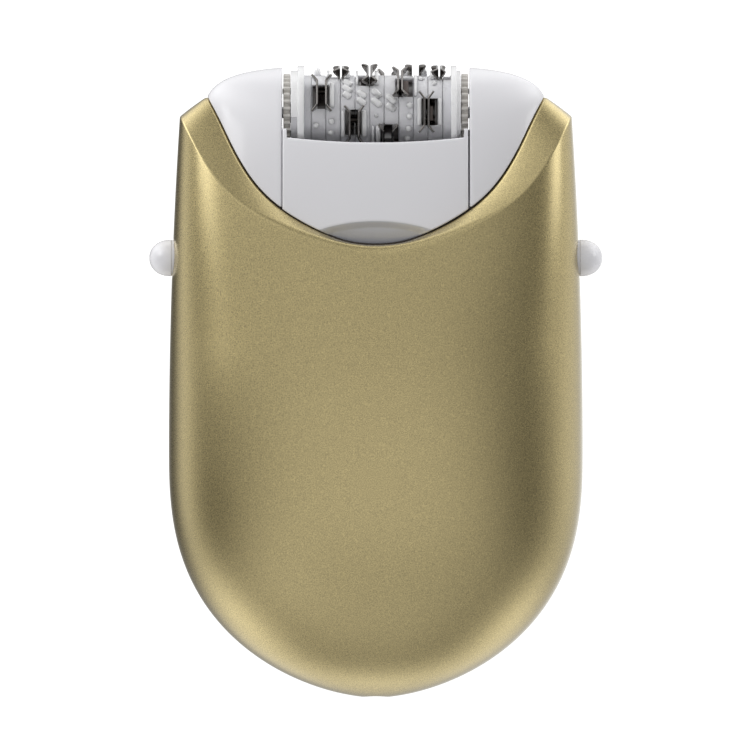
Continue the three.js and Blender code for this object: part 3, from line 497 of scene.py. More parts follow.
GOLD = gold_paint()
WHITE = plastic("white_gloss", (0.885, 0.88, 0.912), 0.24, coat=0.7, vary=0.005, tint=(0.89, 0.885, 0.917))
DRUM = drum_plastic()
IVORY = plastic("ivory_acetal", (0.75, 0.725, 0.68), 0.38, vary=0.05, bump_d=8e-6)
STEEL = metal("tweezer_steel", (0.108, 0.097, 0.088), 0.17, vary=0.5, stretch=(1, 1, 1), patch=1700.0)
STEEL.node_tree.nodes["Principled BSDF"].inputs["Coat Weight"].default_value = 1.0
STEEL.node_tree.nodes["Principled BSDF"].inputs["Coat IOR"].default_value = 1.8
STEEL.node_tree.nodes["Principled BSDF"].inputs["Coat Roughness"].default_value = 0.08
DARK_ROD = metal("dark_rod_steel", (0.045, 0.038, 0.034), 0.35, vary=0.2)
BRIGHT = metal("bright_steel", (0.62, 0.63, 0.65), 0.22, vary=0.06)
BRASS = metal("brass", (0.78, 0.58, 0.25), 0.28, vary=0.08)
# painted shade: the pushers take the dark umber of their shadowed place inside the windows
PUSHER_SHADE = plastic("pusher_painted_shade", (0.17, 0.135, 0.125), 0.5, vary=0.1, bump_d=1.2e-5)
GREY = plastic("grey_plastic", (0.27, 0.285, 0.30), 0.45, vary=0.05, bump_d=1.2e-5)
GREEN = plastic("board_green", (0.025, 0.16, 0.06), 0.35, coat=0.4, vary=0.12, bump_d=6e-6)
BLACK = plastic("black_plastic", (0.02, 0.021, 0.023), 0.42, vary=0.12, bump_d=1.2e-5)
# painted shade: the near-black colour of the strips that darken the gap under the gold lip
SHADE = plastic("gap_painted_shade", (0.035, 0.024, 0.018), 0.6, vary=0.15, bump_d=1.0e-5)
CELL = plastic("cell_wrap", (0.045, 0.16, 0.39), 0.3, coat=0.3, vary=0.08, bump_d=8e-6)
LENS = plastic("clear_lens", (0.52, 0.72, 0.55), 0.08, coat=0.6, vary=0.03)
LENS.node_tree.nodes["Principled BSDF"].inputs["Transmission Weight"].default_value = 0.45
BY_SLOT = {
    "gold_paint": GOLD, "white_gloss": WHITE, "drum_white": DRUM, "ivory_acetal": IVORY, "tweezer_steel": STEEL,
    "bright_steel": BRIGHT, "brass": BRASS, "grey_plastic": GREY, "board_green": GREEN, "black_plastic": BLACK,
    "cell_wrap": CELL, "clear_lens": LENS,
}


# ------------------------------------------------------------------ covers
def cover(rear):
    sign = -1.0 if rear else 1.0
    th = np.radians(np.concatenate([[-89.55], np.linspace(-88.6, 88.6, 170), [89.55]]))
    s = np.sign(np.sin(th)) * np.abs(np.sin(th)) ** (2 / N_BODY)
    c = np.cos(th) ** (2 / N_BODY)
    K = len(s)

    # where each column meets the crease, and the point of the edge that goes with it
    share = CREASE_PTS[:, 0] / half_width(CREASE_PTS[:, 1])
    t = np.interp(s, share, EDGE_T)
    t = np.where(np.abs(s) > 0.9999, np.where(s > 0, 1.0, 0.0), t)
    crease = np.stack([np.interp(t, EDGE_T, CREASE_PTS[:, 0]), np.interp(t, EDGE_T, CREASE_PTS[:, 1])], 1)
    edge = np.stack([np.interp(t, EDGE_T, EDGE_PTS[:, 0]), np.interp(t, EDGE_T, EDGE_PTS[:, 1])], 1)

    def flat(z):
        if not rear:
            return z
        limit = 16.5
        a, b = limit - 0.8, limit + 0.8
        return np.where(z <= a, z, np.where(z >= b, limit, limit - (b - np.minimum(z, b)) ** 2 / (2 * (b - a))))

    def skin(y, inset=0.0):
        """Points of the skin, one for each column, at heights y."""
        z = depth(y, inset * 0.8) * sec(s, body_n(y)) * 0.9994
        if rear:
            z = flat(z) if inset == 0 else np.minimum(flat(z + 1.6) - 1.6, z)
        return np.stack([s * half_width(y, inset), y, z], -1)

    def at_radius(rho, inset=0.0):
        """The height at which each column of the skin is rho from the axis of the body."""
        bot = Y_BOT + inset
        u = np.linspace(0, 1, 4000) ** 2
        ys = bot + u * 14
        w = half_width(ys, inset)[:, None] * np.abs(s)[None]
        d = depth(ys, inset * 0.8)[:, None] * c[None]
        r = np.hypot(w, d)
        return np.array([np.interp(rho, r[:, k], ys) for k in range(K)])

    HOLE = 2.4
    y_hole, y_near = at_radius(HOLE), at_radius(HOLE + 0.12)
    p_hole, p_near = skin(y_hole), skin(y_near)
    p_in = p_hole + np.array([0, 0.12, 0])
    rows = [p_hole + np.array([0, 1.2, 0]), p_in]
    rows += list(bezier(p_in, p_hole, p_near, 4))
    rows.append(p_near)
    # lower skin: even steps of width
    q0 = np.arcsin(np.clip(bottom_round(y_near, 2.65, 0.58, Y_BOT), 0, 1))
    for f in np.linspace(0, 1, 54)[1:]:
        f2 = f
        r = np.sin(q0 + (np.pi / 2 - q0) * f2)
        tt = np.power(np.maximum(0, 1 - np.power(r, 1 / 0.58)), 1 / 2.65)
        rows.append(skin(Y_WIDE - (Y_WIDE - Y_BOT) * tt))
    soft = 0.3 + 2.3 * np.maximum(0, 1 - np.abs(crease[:, 0]) / 25) ** 1.2
    y_end = crease[:, 1] - soft
    for f in np.linspace(0, 1, 46)[1:]:
        rows.append(skin(Y_WIDE + (y_end - Y_WIDE) * f))
    corner = skin(crease[:, 1])
    # the scoop's edge lies on a section slightly larger than the head's
    ew, ed = head_half(edge[:, 1]) + 0.3, head_depth(edge[:, 1]) + 0.02
    ez = ed * sec(edge[:, 0] / ew, N_HEAD)
    e = np.stack([edge[:, 0], edge[:, 1], ez], 1)
    nx = np.sign(edge[:, 0]) * np.minimum(1, np.abs(edge[:, 0]) / ew) ** (N_HEAD - 1) / ew
    nz = (ez / ed) ** (N_HEAD - 1) / ed
    nn = np.stack([nx, np.zeros(K), nz], 1)
    nn /= np.linalg.norm(nn, axis=1)[:, None]
    band = e - corner
    length = np.linalg.norm(band, axis=1)[:, None]
    d1 = np.minimum(soft[:, None], 0.42 * length)
    b0 = corner + band / length * d1
    rows += list(bezier(rows[-1], corner, b0, 8))
    rows.append(b0)
    d2 = np.minimum(0.34, 0.3 * length)
    b1 = e - band / length * d2
    # the band swells slightly between its two edges
    up = np.cross(band, np.gradient(e, axis=0))
    up /= np.linalg.norm(up, axis=1)[:, None] + 1e-12
    up *= np.sign(up[:, 2])[:, None]
    for f in np.linspace(0, 1, 9)[1:]:
        bow = 4 * f * (1 - f) * 0.01 * length
        rows.append(b0 + (b1 - b0) * f + up * bow)
    w0 = e - nn * 0.34
    rows += list(bezier(rows[-1], e, w0, 4))
    rows.append(w0)
    rows.append(e - nn * 0.6)
    rows.append(e - nn * 0.85)
    A = np.stack(rows, 1)  # K by M by 3

    # inner skin, from the hole to the underside of the lip
    inner = [np.stack([p_hole[:, 0], at_radius(HOLE, 2.0) * 0 + Y_BOT + 2.6, p_hole[:, 2]], 1)]
    yi0 = at_radius(HOLE + 0.5, 2.0)
    qi = np.arcsin(np.clip(bottom_round(yi0, 2.65, 0.58, Y_BOT + 2), 0, 1))
    for f in np.linspace(0, 1, 26):
        r = np.sin(qi + (np.pi / 2 - qi) * f)
        tt = np.power(np.maximum(0, 1 - np.power(r, 1 / 0.58)), 1 / 2.65)
        inner.append(skin(Y_WIDE - (Y_WIDE - Y_BOT - 2) * tt, 2.0))
    yi1 = crease[:, 1] - 1.7
    for f in np.linspace(0, 1, 24)[1:]:
        inner.append(skin(Y_WIDE + (yi1 - Y_WIDE) * f, 2.0))
    low = e - nn * 0.85
    back = low - np.array([0, 0.5, 0])
    inner.append((inner[-1] + back) / 2)
    inner.append(back)
    I = np.stack(inner, 1)
    M = A.shape[1]
    B = np.zeros_like(A)
    for k in range(K):
        la = np.concatenate([[0], np.cumsum(np.linalg.norm(np.diff(A[k], axis=0), axis=1))])
        li = np.concatenate([[0], np.cumsum(np.linalg.norm(np.diff(I[k], axis=0), axis=1))])
        f = la / la[-1] * li[-1]
        for ax in range(3):
            B[k, :, ax] = np.interp(f, li, I[k, :, ax])

    # the two ends, where the covers meet: a small chamfer and a flat rim
    def inward(col):
        d = np.gradient(col[:, :2], axis=0)
        d /= np.linalg.norm(d, axis=1)[:, None] + 1e-12
        n = np.stack([-d[:, 1], d[:, 0]], 1)
        return n

    def ends(col, col_in, side):
        flatten = col.copy()
        toward = col_in - col
        toward[:, 2] = 0
        toward /= np.linalg.norm(toward, axis=1)[:, None] + 1e-12
        a = flatten + toward * 0.05
        a[:, 2] = np.minimum(flatten[:, 2], 0.14)
        b = flatten + toward * 0.17
        b[:, 2] = SEAM
        return a, b

    a1, a2 = ends(A[0], B[0], -1)
    z1, z2 = ends(A[-1], B[-1], 1)
    A = np.concatenate([a2[None], a1[None], A, z1[None], z2[None]])
    B0, B1 = B[0].copy(), B[-1].copy()
    B0[:, 2] = SEAM
    B1[:, 2] = SEAM
    B = np.concatenate([B0[None], B0[None] + np.array([0, 0, 0.02]), B, B1[None] + np.array([0, 0, 0.02]), B1[None]])
    A[..., 2] = np.maximum(A[..., 2], SEAM)
    B[..., 2] = np.maximum(B[..., 2], SEAM)
    K = A.shape[0]
    A[..., 2] = ZC + sign * A[..., 2]
    B[..., 2] = ZC + sign * B[..., 2]
    verts = np.concatenate([A.reshape(-1, 3), B.reshape(-1, 3)])
    n = K * M
    faces = grid_faces(K, M) + grid_faces(K, M, n)
    for k in range(K - 1):
        faces.append([k * M, (k + 1) * M, n + (k + 1) * M, n + k * M])
        faces.append([k * M + M - 1, (k + 1) * M + M - 1, n + (k + 1) * M + M - 1, n + k * M + M - 1])
    for m in range(M - 1):
        faces.append([m, m + 1, n + m + 1, n + m])
        j = (K - 1) * M
        faces.append([j + m, j + m + 1, n + j + m + 1, n + j + m])
    return verts, faces


def gap_shade_strip(sign):
    """A dark strip of painted shade under the lip: it closes the gap beside the head from below, so the gap reads as a
    shadow.
    """
    d = np.gradient(EDGE_PTS, axis=0)
    d /= np.linalg.norm(d, axis=1)[:, None]
    normal = np.stack([-d[:, 1], d[:, 0]], 1)
    pick = np.linspace(10, len(EDGE_PTS) - 11, 161).astype(int)
    ring = []
    for out, drop in ((-0.45, 0.98), (-0.45, 1.25), (PLATE_GAP - 0.03, 1.25), (PLATE_GAP - 0.03, 0.98)):
        p = EDGE_PTS[pick] + out * normal[pick]
        w, dd = head_half(p[:, 1]), head_depth(p[:, 1])
        q = np.minimum(0.9995, np.abs(p[:, 0]) / w)
        z = dd * (1 - q**N_HEAD) ** (1 / N_HEAD)
        n = np.stack([np.sign(p[:, 0]) * q ** (N_HEAD - 1) / w, (z / dd) ** (N_HEAD - 1) / dd], 1)
        n /= np.linalg.norm(n, axis=1)[:, None]
        ring.append(np.stack([p[:, 0] - n[:, 0] * drop, p[:, 1], ZC + sign * np.maximum(SEAM, z - n[:, 1] * drop)], 1))
    return loops(np.stack(ring, 1))


# strips of painted shade in the gaps beside the head
make("front_cover_gap_shade", *gap_shade_strip(1), "handle", SHADE, "black_plastic", ["front_cover"])
make("rear_cover_gap_shade", *gap_shade_strip(-1), "handle", SHADE, "black_plastic", ["rear_cover"])


def button_cutter(side):
    p = rounded([(0, 29.5), (3.5, 29.5), (3.5, 35.1), (3.85, 35.8), (3.85, 40), (0, 40)], [0, 0, 0, 0, 0, 0])
    return lathe([(r, side * x) for r, x in p], "x", (0, BUTTON_Y, ZC), 72)


front = make("front_cover_shell", *cover(False), "handle", GOLD, "gold_paint", ["front_cover"], sharp=50)
cut(front, [button_cutter(-1), button_cutter(1)])
refresh(front, 42)
rear = make("rear_cover_shell", *cover(True), "handle", GOLD, "gold_paint", ["rear_cover"], sharp=50)


def stadium(w, l, cy, levels, seg=24):
    """A slot-shaped solid along Y; levels are (z, how much wider)."""
    rows = []
    for z, grow in levels:
        ring = []
        for k in range(seg + 1):
            a = math.pi * k / seg
            ring.append(((w + grow) * math.cos(a), cy + l + (w + grow) * math.sin(a), z))
        for k in range(seg + 1):
            a = math.pi + math.pi * k / seg
            ring.append(((w + grow) * math.cos(a), cy - l + (w + grow) * math.sin(a), z))
        rows.append(ring)
    return loops(rows)


rear_cuts = [button_cutter(-1), button_cutter(1)]
for x, y in SCREWS:
    rear_cuts.append(lathe([(0, -1), (3.1, -1), (2.5, 0.45), (2.5, 4.6), (0, 4.6)], "z", (x, y, 0), 48))
rear_cuts.append(stadium(4.4, 3.6, SWITCH_Y, [(-1, 0.9), (0.5, 0.0), (1.45, 0.0)]))
rear_cuts.append(lathe([(0, -1), (2.1, -1), (1.5, 0.3), (1.5, 4), (0, 4)], "z", (0, -3, 0), 40))
cut(rear, rear_cuts)
refresh(rear, 42)

# ------------------------------------------------------------------ head
rim_share = np.minimum(1.0, RIM[:, 0] / head_half(RIM[:, 1]))
RECESS = 1.4


def rim_y(share):
    """The height of the face plate's rim for a column at that share of the half width."""
    order = np.argsort(rim_share, kind="stable")
    return np.interp(share, rim_share[order], RIM[order, 1])


# a measure along Y whose even steps suit the curve of the head's outline
_y = np.concatenate([np.linspace(20, 46, 400), 46 + 9.04 * (1 - (np.linspace(1, 0, 1600)[1:]) ** 2) ** 0.5 * 0.9999])
_y = np.sort(_y)
_l = np.concatenate([[0], np.cumsum(np.sqrt(np.diff(_y) ** 2 + np.diff(head_half(_y)) ** 2 + np.diff(head_depth(_y)) ** 2))])


def pillar(side):
    """One side of the head: a hollow-looking block with a stepped rim under the gold lip."""
    xin = PILLAR_X
    y_top = float(46 + 9.04 * (1 - ((xin + 0.03) / 30.0) ** 4) ** (1 / 3))
    cols = np.linspace(0, 1, 97)
    r_in = 0.35

    def section(y, drop):
        """The ring of the section at heights y (one for each column), drop inside the skin."""
        w, d = head_half(y), head_depth(y)
        xs = np.minimum(xin + r_in, w - 0.002)
        t0 = np.arcsin(np.clip(xs / w, 0, 1) ** (N_HEAD / 2))
        th = t0 + (np.pi - 2 * t0) * cols
        x = w * np.sin(th) ** (2 / N_HEAD)
        z = d * np.sign(np.cos(th)) * np.abs(np.cos(th)) ** (2 / N_HEAD)
        nx = (x / w) ** (N_HEAD - 1) / w
        nz = np.sign(z) * (np.abs(z) / np.maximum(d, 1e-6)) ** (N_HEAD - 1) / np.maximum(d, 1e-6)
        n = np.stack([nx, nz], 1)
        n /= np.linalg.norm(n, axis=1)[:, None]
        return np.stack([x, y, z], 1) - drop * np.stack([n[:, 0], np.zeros(len(x)), n[:, 1]], 1)

    def share_at(y):
        w = head_half(y)
        xs = np.minimum(xin + r_in, w - 0.002)
        t0 = np.arcsin(np.clip(xs / w, 0, 1) ** (N_HEAD / 2))
        th = t0 + (np.pi - 2 * t0) * cols
        return np.sin(th) ** (2 / N_HEAD)

    yr = np.full(len(cols), 40.0)
    for _ in range(60):
        yr = 0.5 * yr + 0.5 * rim_y(share_at(yr))
    # the section used below the rim is the one at the rim, so that the head can slide out
    def below(y, drop):
        p = section(yr, drop)
        p[:, 1] = y
        return p

    rows = []
    for f in np.linspace(0, 1, 9):
        rows.append(below(26.5 + (yr - 26.5) * f, RECESS))
    rows.append(below(yr, RECESS * 0.5))
    rows.append(below(yr, 0.3))
    a, b, c = rows[-1], below(yr, 0.0), section(yr + 0.3, 0.0)
    rows += list(bezier(a, b, c, 4))
    rows.append(c)
    l0, l1 = np.interp(yr + 0.3, _y, _l), np.interp(y_top, _y, _l)
    for f in np.linspace(0, 1, 60)[1:]:
        rows.append(section(np.interp(l0 + (l1 - l0) * f, _l, _y), 0.0))
    P = np.stack(rows)  # rows by columns by 3
    # corner between the skin and the inner face, and the inner face itself
    n = P.shape[0]
    first, last = P[:, 0], P[:, -1]

    def corner_of(p, sgn):
        q = p.copy()
        q[:, 0] = xin
        r = q.copy()
        drop = np.minimum(r_in, np.abs(q[:, 2]) * 0.6)
        r[:, 2] -= sgn * drop
        return list(bezier(p, q, r, 4)) + [r]

    f_side = corner_of(first, 1.0)
    r_side = corner_of(last, -1.0)
    fa, ra = f_side[-1], r_side[-1]
    mid = [ra + (fa - ra) * f for f in np.linspace(0, 1, 14)[1:-1]]
    ring = [P[:, k] for k in range(P.shape[1])] + r_side + mid + f_side[::-1]
    G = np.stack(ring, 1)  # rows by ring by 3
    G[..., 0] *= side
    G[..., 2] += ZC
    return loops(G)


pillars = {}
for side, name in ((-1, "left"), (1, "right")):
    ob = make("head_pillar_" + name, *pillar(side), "head", WHITE, "white_gloss", ["head_housing"], sharp=45)
    x0, x1 = sorted((side * 16.2, side * 20.8))
    cut(ob, [box_loops(x0, x1, 49.9, 51.7, ZC - 2.3, ZC + 2.3, 0.12, 1)])
    refresh(ob, 45)
    pillars[name] = ob

bridge = parts_join([
    box_loops(-16.42, 16.42, 28.6, 30.4, ZC - 8.1, ZC - 6.9, 0.2),
    box_loops(-16.42, 16.42, 28.6, 30.4, ZC + 6.9, ZC + 8.1, 0.2),
    box_loops(-12.2, 16.42, 28.62, 30.38, ZC - 7.4, ZC + 7.4, 0.15),
    box_loops(-12.2, -10.6, 30.0, 37.2, ZC - 2.6, ZC + 2.6, 0.2),
])
make("head_bridge", *bridge, "head", WHITE, "white_gloss", ["head_housing"])


def ledge(side, sign):
    """A shelf inside the pillar that the edge of the face plate rests on."""
    rows = []
    for y in np.linspace(26.9, 44.0, 30):
        top = float(head_skin_below(np.array([16.2]), np.array([y]))[0]) - 2.42
        low = top - 0.55
        q = 0.12
        ring = [(16.9, low), (16.9, top), (15.85 + q, top), (15.85, top - q), (15.85, low + q), (15.85 + q, low)]
        rows.append([(side * x, y, ZC + sign * z) for x, z in ring])
    return loops(rows)


make("head_ledges", *parts_join([ledge(-1, 1), ledge(-1, -1), ledge(1, -1)]), "head", WHITE, "white_gloss", ["head_housing"])


def apron(rear):
    sign = -1.0 if rear else 1.0
    R = 0.32  # rounding of the sides and of the top
    X = 16.2
    body = np.linspace(-(X - R), X - R, 131)
    ears = np.array([-15.5, -15.42, 15.42, 15.5])
    body = np.unique(np.concatenate([body[np.min(np.abs(body[:, None] - ears[None]), 1) > 0.06], ears]))
    ang = np.radians(np.linspace(0, 90, 5)[1:])
    xr = X - R + R * np.sin(ang)
    dr = R - R * np.cos(ang)
    xs = np.concatenate([-xr[::-1], body, xr])
    dx = np.concatenate([dr[::-1], np.zeros(len(body)), dr])
    ear = np.abs(xs) > 15.46
    top = np.where(ear, 43.95, 41.5 + (xs / X) ** 2)
    yb = np.interp(np.abs(xs), RIM[:, 0], RIM[:, 1]) - 0.17 * np.clip(1 - (xs / 13.0) ** 2, 0, 1)

    def arc(r, cy):
        return cy + np.sqrt(np.maximum(0, r * r - xs * xs))

    outer, inner = arc(32.7, -4.9), arc(30.6, -4.0)
    hi = np.maximum(outer, yb + 0.55)
    lo = np.maximum(inner, yb + 0.45)
    lo = np.minimum(lo, hi - 0.05)

    def dent(y):
        """How far the finger scoop lies below the face."""
        f = np.clip((outer - y) / np.maximum(outer - inner, 0.05), 0, 1)
        s = f * f * (3 - 2 * f) * 0.35 + f * 0.65
        side = np.clip((9.9 - np.abs(xs)) / 2.2, 0, 1)
        return (s * 1.1 + 0.46 * np.maximum(0, inner - y)) * np.where(np.hypot(xs, y + 4.9) < 32.7, 1.0, 0.0) * (0.25 + 0.75 * side)

    def face(y, drop=0.0):
        z = head_skin_below(xs, y) - dent(y) - dx - drop
        return np.stack([xs, y, z], 1)

    rows = []
    for f in np.linspace(0, 1, 5):
        y = 21.2 + (yb - 21.2) * f
        rows.append(np.stack([xs, y, np.minimum(head_skin_below(xs, yb) - RECESS - dx * 0.3, head_skin_below(xs, yb) - dent(yb) - 0.5)], 1))
    wall = face(yb)
    rows.append(np.stack([xs, yb, (rows[-1][:, 2] + wall[:, 2] - 0.3) / 2], 1))
    rows.append(np.stack([xs, yb, np.maximum(wall[:, 2] - 0.3, rows[-2][:, 2] + 0.05)], 1))
    a, b, c = rows[-1], wall, face(yb + 0.3)
    rows += list(bezier(a, b, c, 4))
    rows.append(c)
    for f in np.linspace(0, 1, 16)[1:]:
        rows.append(face(yb + 0.3 + (lo - yb - 0.3) * f))
    for f in np.linspace(0, 1, 11)[1:]:
        rows.append(face(lo + (hi - lo) * f))
    yt = top - R
    for f in np.linspace(0, 1, 40)[1:]:
        rows.append(face(hi + 0.02 + (yt - hi - 0.02) * f))
    for a_ in ang:
        rows.append(face(yt + R * math.sin(a_), R - R * math.cos(a_)))
    A = np.stack(rows)
    B = A.copy()
    thick = 2.3
    for i in range(len(A)):
        y = A[i][:, 1]
        B[i][:, 2] = head_skin_below(xs, y) - thick
    B[..., 2] = np.minimum(B[..., 2], A[..., 2] - 0.3)
    n, m = A.shape[:2]
    A[..., 0] -= 0.09
    B[..., 0] -= 0.09
    A[..., 2] = ZC + sign * A[..., 2]
    B[..., 2] = ZC + sign * B[..., 2]
    verts = np.concatenate([A.reshape(-1, 3), B.reshape(-1, 3)])
    k = n * m
    faces = grid_faces(n, m) + grid_faces(n, m, k)
    for i in range(n - 1):
        faces.append([i * m, (i + 1) * m, k + (i + 1) * m, k + i * m])
        faces.append([i * m + m - 1, (i + 1) * m + m - 1, k + (i + 1) * m + m - 1, k + i * m + m - 1])
    for j in range(m - 1):
        faces.append([j, j + 1, k + j + 1, k + j])
        q = (n - 1) * m
        faces.append([q + j, q + j + 1, k + q + j + 1, k + q + j])
    return verts, faces


def scoop_painted_shade():
    """The white of the head with painted shade: greyer inside the finger scoop."""
    m = WHITE.copy()
    m.name = "apron_white_painted_shade"
    nt = m.node_tree
    b = nt.nodes["Principled BSDF"]
    link = [q for q in nt.links if q.to_socket == b.inputs["Base Color"]][0]
    source = link.from_socket
    nt.links.remove(link)
    tc = nt.nodes.new("ShaderNodeTexCoord")
    sub = nt.nodes.new("ShaderNodeVectorMath")
    sub.operation = "SUBTRACT"
    sub.inputs[1].default_value = (0, -4.9 * MM, 0)
    nt.links.new(tc.outputs["Object"], sub.inputs[0])
    mul = nt.nodes.new("ShaderNodeVectorMath")
    mul.operation = "MULTIPLY"
    mul.inputs[1].default_value = (1, 1, 0)
    nt.links.new(sub.outputs[0], mul.inputs[0])
    ln = nt.nodes.new("ShaderNodeVectorMath")
    ln.operation = "LENGTH"
    nt.links.new(mul.outputs[0], ln.inputs[0])
    # painted shade: the base colour is multiplied by grey inside the circle of the scoop's outer edge
    mix = nt.nodes.new("ShaderNodeMix")
    mix.data_type = "RGBA"
    mix.blend_type = "MULTIPLY"
    nt.links.new(spread(nt, ln.outputs["Value"], 1.0, 0.0, (0.03262, 0.03274)), mix.inputs["Factor"])
    nt.links.new(source, mix.inputs[6])
    mix.inputs[7].default_value = (0.76, 0.775, 0.80, 1)
    nt.links.new(mix.outputs[2], b.inputs["Base Color"])
    return m


APRON = scoop_painted_shade()
make("front_apron_plate", *apron(False), "head", APRON, "white_gloss", ["front_apron"], sharp=45)
make("rear_apron_plate", *apron(True), "head", APRON, "white_gloss", ["rear_apron"], sharp=45)

# ------------------------------------------------------------------ drum
JOINTS = [
    dict(n=2, deg=26, side=-1, set="a", shift=-0.5, far=2.55, ribs=[(-8.07, -7.26)]),
    dict(n=3, deg=84, side=-1, set="b", shift=-0.1, far=2.27, ribs=[(-8.58, -8.1), (-5.2, -4.5)]),
    dict(n=4, deg=162, side=-1, set="a", shift=0.1, far=2.33, ribs=[(-6.04, -5.42), (-2.45, -1.65)]),
    dict(n=5, deg=66, side=-1, set="b", shift=-0.2, far=2.27, ribs=[(-3.5, -3.08), (-0.2, 0.5)]),
    dict(n=6, deg=139, side=1, set="a", shift=0.4, far=2.6, ribs=[(-0.67, -0.35), (0.05, 0.8)]),
    dict(n=7, deg=45, side=1, set="b", shift=0.4, far=2.6, ribs=[(6.68, 7.18)]),
    dict(n=8, deg=102, side=1, set="a", shift=0.1, far=2.27, ribs=[(4.9, 5.6), (8.48, 8.98)]),
    dict(n=9, deg=0, side=1, set="b", shift=-0.1, far=2.27, ribs=[(7.25, 7.97), (10.87, 11.5)]),
    dict(n=10, deg=82, side=1, set="b", shift=-0.4, far=2.27, ribs=[(9.5, 10.2)]),
]
BY_N = {j["n"]: j for j in JOINTS}
HALF_SLOT = 2.35  # half the length of a window round the drum
HALF_WINDOW = math.degrees(math.asin(HALF_SLOT / R_DISC))
R_CAVITY = 5.45


def joint_x(n):
    return DISC_SHIFT + (n - 5.5) * DISC_PITCH


def fixed_x(j):
    return joint_x(j["n"]) - j["side"] * 0.515 + j["shift"]


def moving_x(j):
    return fixed_x(j) + j["side"] * (CLOSED + (TRAVEL if j["set"] == "a" else PART_OPEN))


def span_of(j, near, far):
    a, b = fixed_x(j) - j["side"] * near, fixed_x(j) + j["side"] * far
    return min(a, b), max(a, b)


def wrap(d):
    return (d + 180.0) % 360.0 - 180.0


# Raised features on the rims: domes at (x, degrees, radius, height) and rounded ridges that run
# aslant, from (x, degrees) to (x, degrees).
DOMES = [(-10.46, -21.2, 0.56, 0.62), (-7.72, -14.8, 0.56, 0.62), (-7.86, -33.5, 0.56, 0.62), (5.99, 10.0, 0.56, 0.62), (5.85, -7.0, 0.56, 0.62),
         (5.70, -26.5, 0.56, 0.62), (5.5, -44.5, 0.56, 0.62), (3.0, 6.5, 0.48, 0.45), (0.35, 24.5, 0.48, 0.45), (0.1, -6.0, 0.35, 0.25),
         (-10.2, 88.0, 0.62, 1.45), (8.35, 86.0, 0.55, 1.4), (7.9, 62.0, 0.5, 0.5), (9.3, 64.0, 0.5, 0.5), (10.25, 49.5, 0.45, 0.42)]
RIDGES = [(-5.7, 55.5, -4.2, 45.0), (-5.8, 44.0, -4.2, 32.0), (-5.7, 31.0, -4.4, 22.0), (-3.6, 34.0, -1.7, 23.0), (-3.5, 21.5, -1.8, 11.0),
          (-1.0, 37.0, 0.95, 23.0), (-1.0, 21.0, 0.95, 8.5), (1.55, 27.0, 3.5, 13.5), (1.6, 12.5, 3.4, 2.0)]


def on_rim(x, deg, r):
    a = np.radians(deg)
    return np.stack([x, DRUM_Y + r * np.sin(a), ZC + r * np.cos(a)], -1)


def dome(x, deg, radius, height):
    """A smooth pip standing on the rim."""
    rows = []
    for f in (-0.35, 0.0, 0.25, 0.45, 0.62, 0.77, 0.89, 0.97):
        q = radius * (1.0 if f <= 0 else math.sqrt(1 - f * f))
        a = np.linspace(0, 2 * np.pi, 20, endpoint=False)
        rows.append(on_rim(x + q * np.cos(a), deg + np.degrees(q * np.sin(a) / R_DISC), R_DISC + height * f))
    return loops(rows)


def ridge(x0, d0, x1, d1, radius=0.6, height=0.55):
    """A rounded bar that lies aslant across the rim."""
    rows = []
    m = 22
    for f in np.linspace(0, 1, m):
        e = math.sqrt(max(0.0, 1 - abs(2 * f - 1) ** 6)) if 0 < f < 1 else 0.12
        x, d = x0 + (x1 - x0) * f, d0 + (d1 - d0) * f
        dx, du = x1 - x0, math.radians(d1 - d0) * R_DISC
        L = math.hypot(dx, du)
        nx, nu = -du / L, dx / L
        a = np.linspace(0, 2 * np.pi, 18, endpoint=False)
        side = radius * e * np.cos(a)
        up = np.where(np.sin(a) > 0, height * e * np.sin(a), 0.18 * np.sin(a))
        rows.append(on_rim(x + nx * side, d + np.degrees(nu * side / R_DISC), R_DISC + up))
    return loops(rows)


def guard(x0, x1, deg):
    """A tall rounded rib that follows the rim beside a window."""
    w = (x1 - x0) / 2
    q = min(0.22, w * 0.9)
    rows = []
    for f in np.concatenate([[-1, -0.985, -0.95, -0.88], np.linspace(-0.8, 0.8, 15), [0.88, 0.95, 0.985, 1]]):
        e = min(1.0, (1 - abs(f)) / 0.2)
        drop = 0.42 * (1 - math.sqrt(max(0.0, 1 - (1 - e) ** 2)))
        d = deg + f * 20.0
        top, low = 7.38 - drop, 6.1
        ring = []
        for k in range(7):
            a = math.radians(90 * k / 6)
            ring.append((x1 - q + q * math.sin(math.pi / 2 - a), top - q + q * math.sin(a)))
        for k in range(7):
            a = math.radians(90 * k / 6)
            ring.append((x0 + q - q * math.sin(a), top - q + q * math.cos(a)))
        ring = [(x1, low)] + ring + [(x0, low)]
        x = np.array([c[0] for c in ring])
        r = np.array([c[1] for c in ring])
        pinch = 1 - 0.12 * (1 - e) ** 2
        x = (x0 + x1) / 2 + (x - (x0 + x1) / 2) * pinch
        rows.append(on_rim(x, np.full(len(x), d), r))
    return loops(rows)


def features(x0, x1):
    """The guards, domes and ridges that stand on the rim between x0 and x1, on both sides."""
    out = []
    for j in JOINTS:
        for a, b in j["ribs"]:
            if a > x0 and b < x1:
                out += [guard(a, b, j["deg"]), guard(a, b, j["deg"] + 180)]
    for turn in (0, 180):
        for x, d, r, h in DOMES:
            if x - r > x0 - 0.2 and x + r < x1 + 0.2 and x0 < x < x1:
                x = min(max(x, x0 + r), x1 - r)
                out.append(dome(x, d + turn, r, h))
        for a, d0, b, d1 in RIDGES:
            if x0 < (a + b) / 2 < x1:
                out.append(ridge(max(a, x0 + 0.3), d0 + turn, min(b, x1 - 0.3), d1 + turn))
    return out


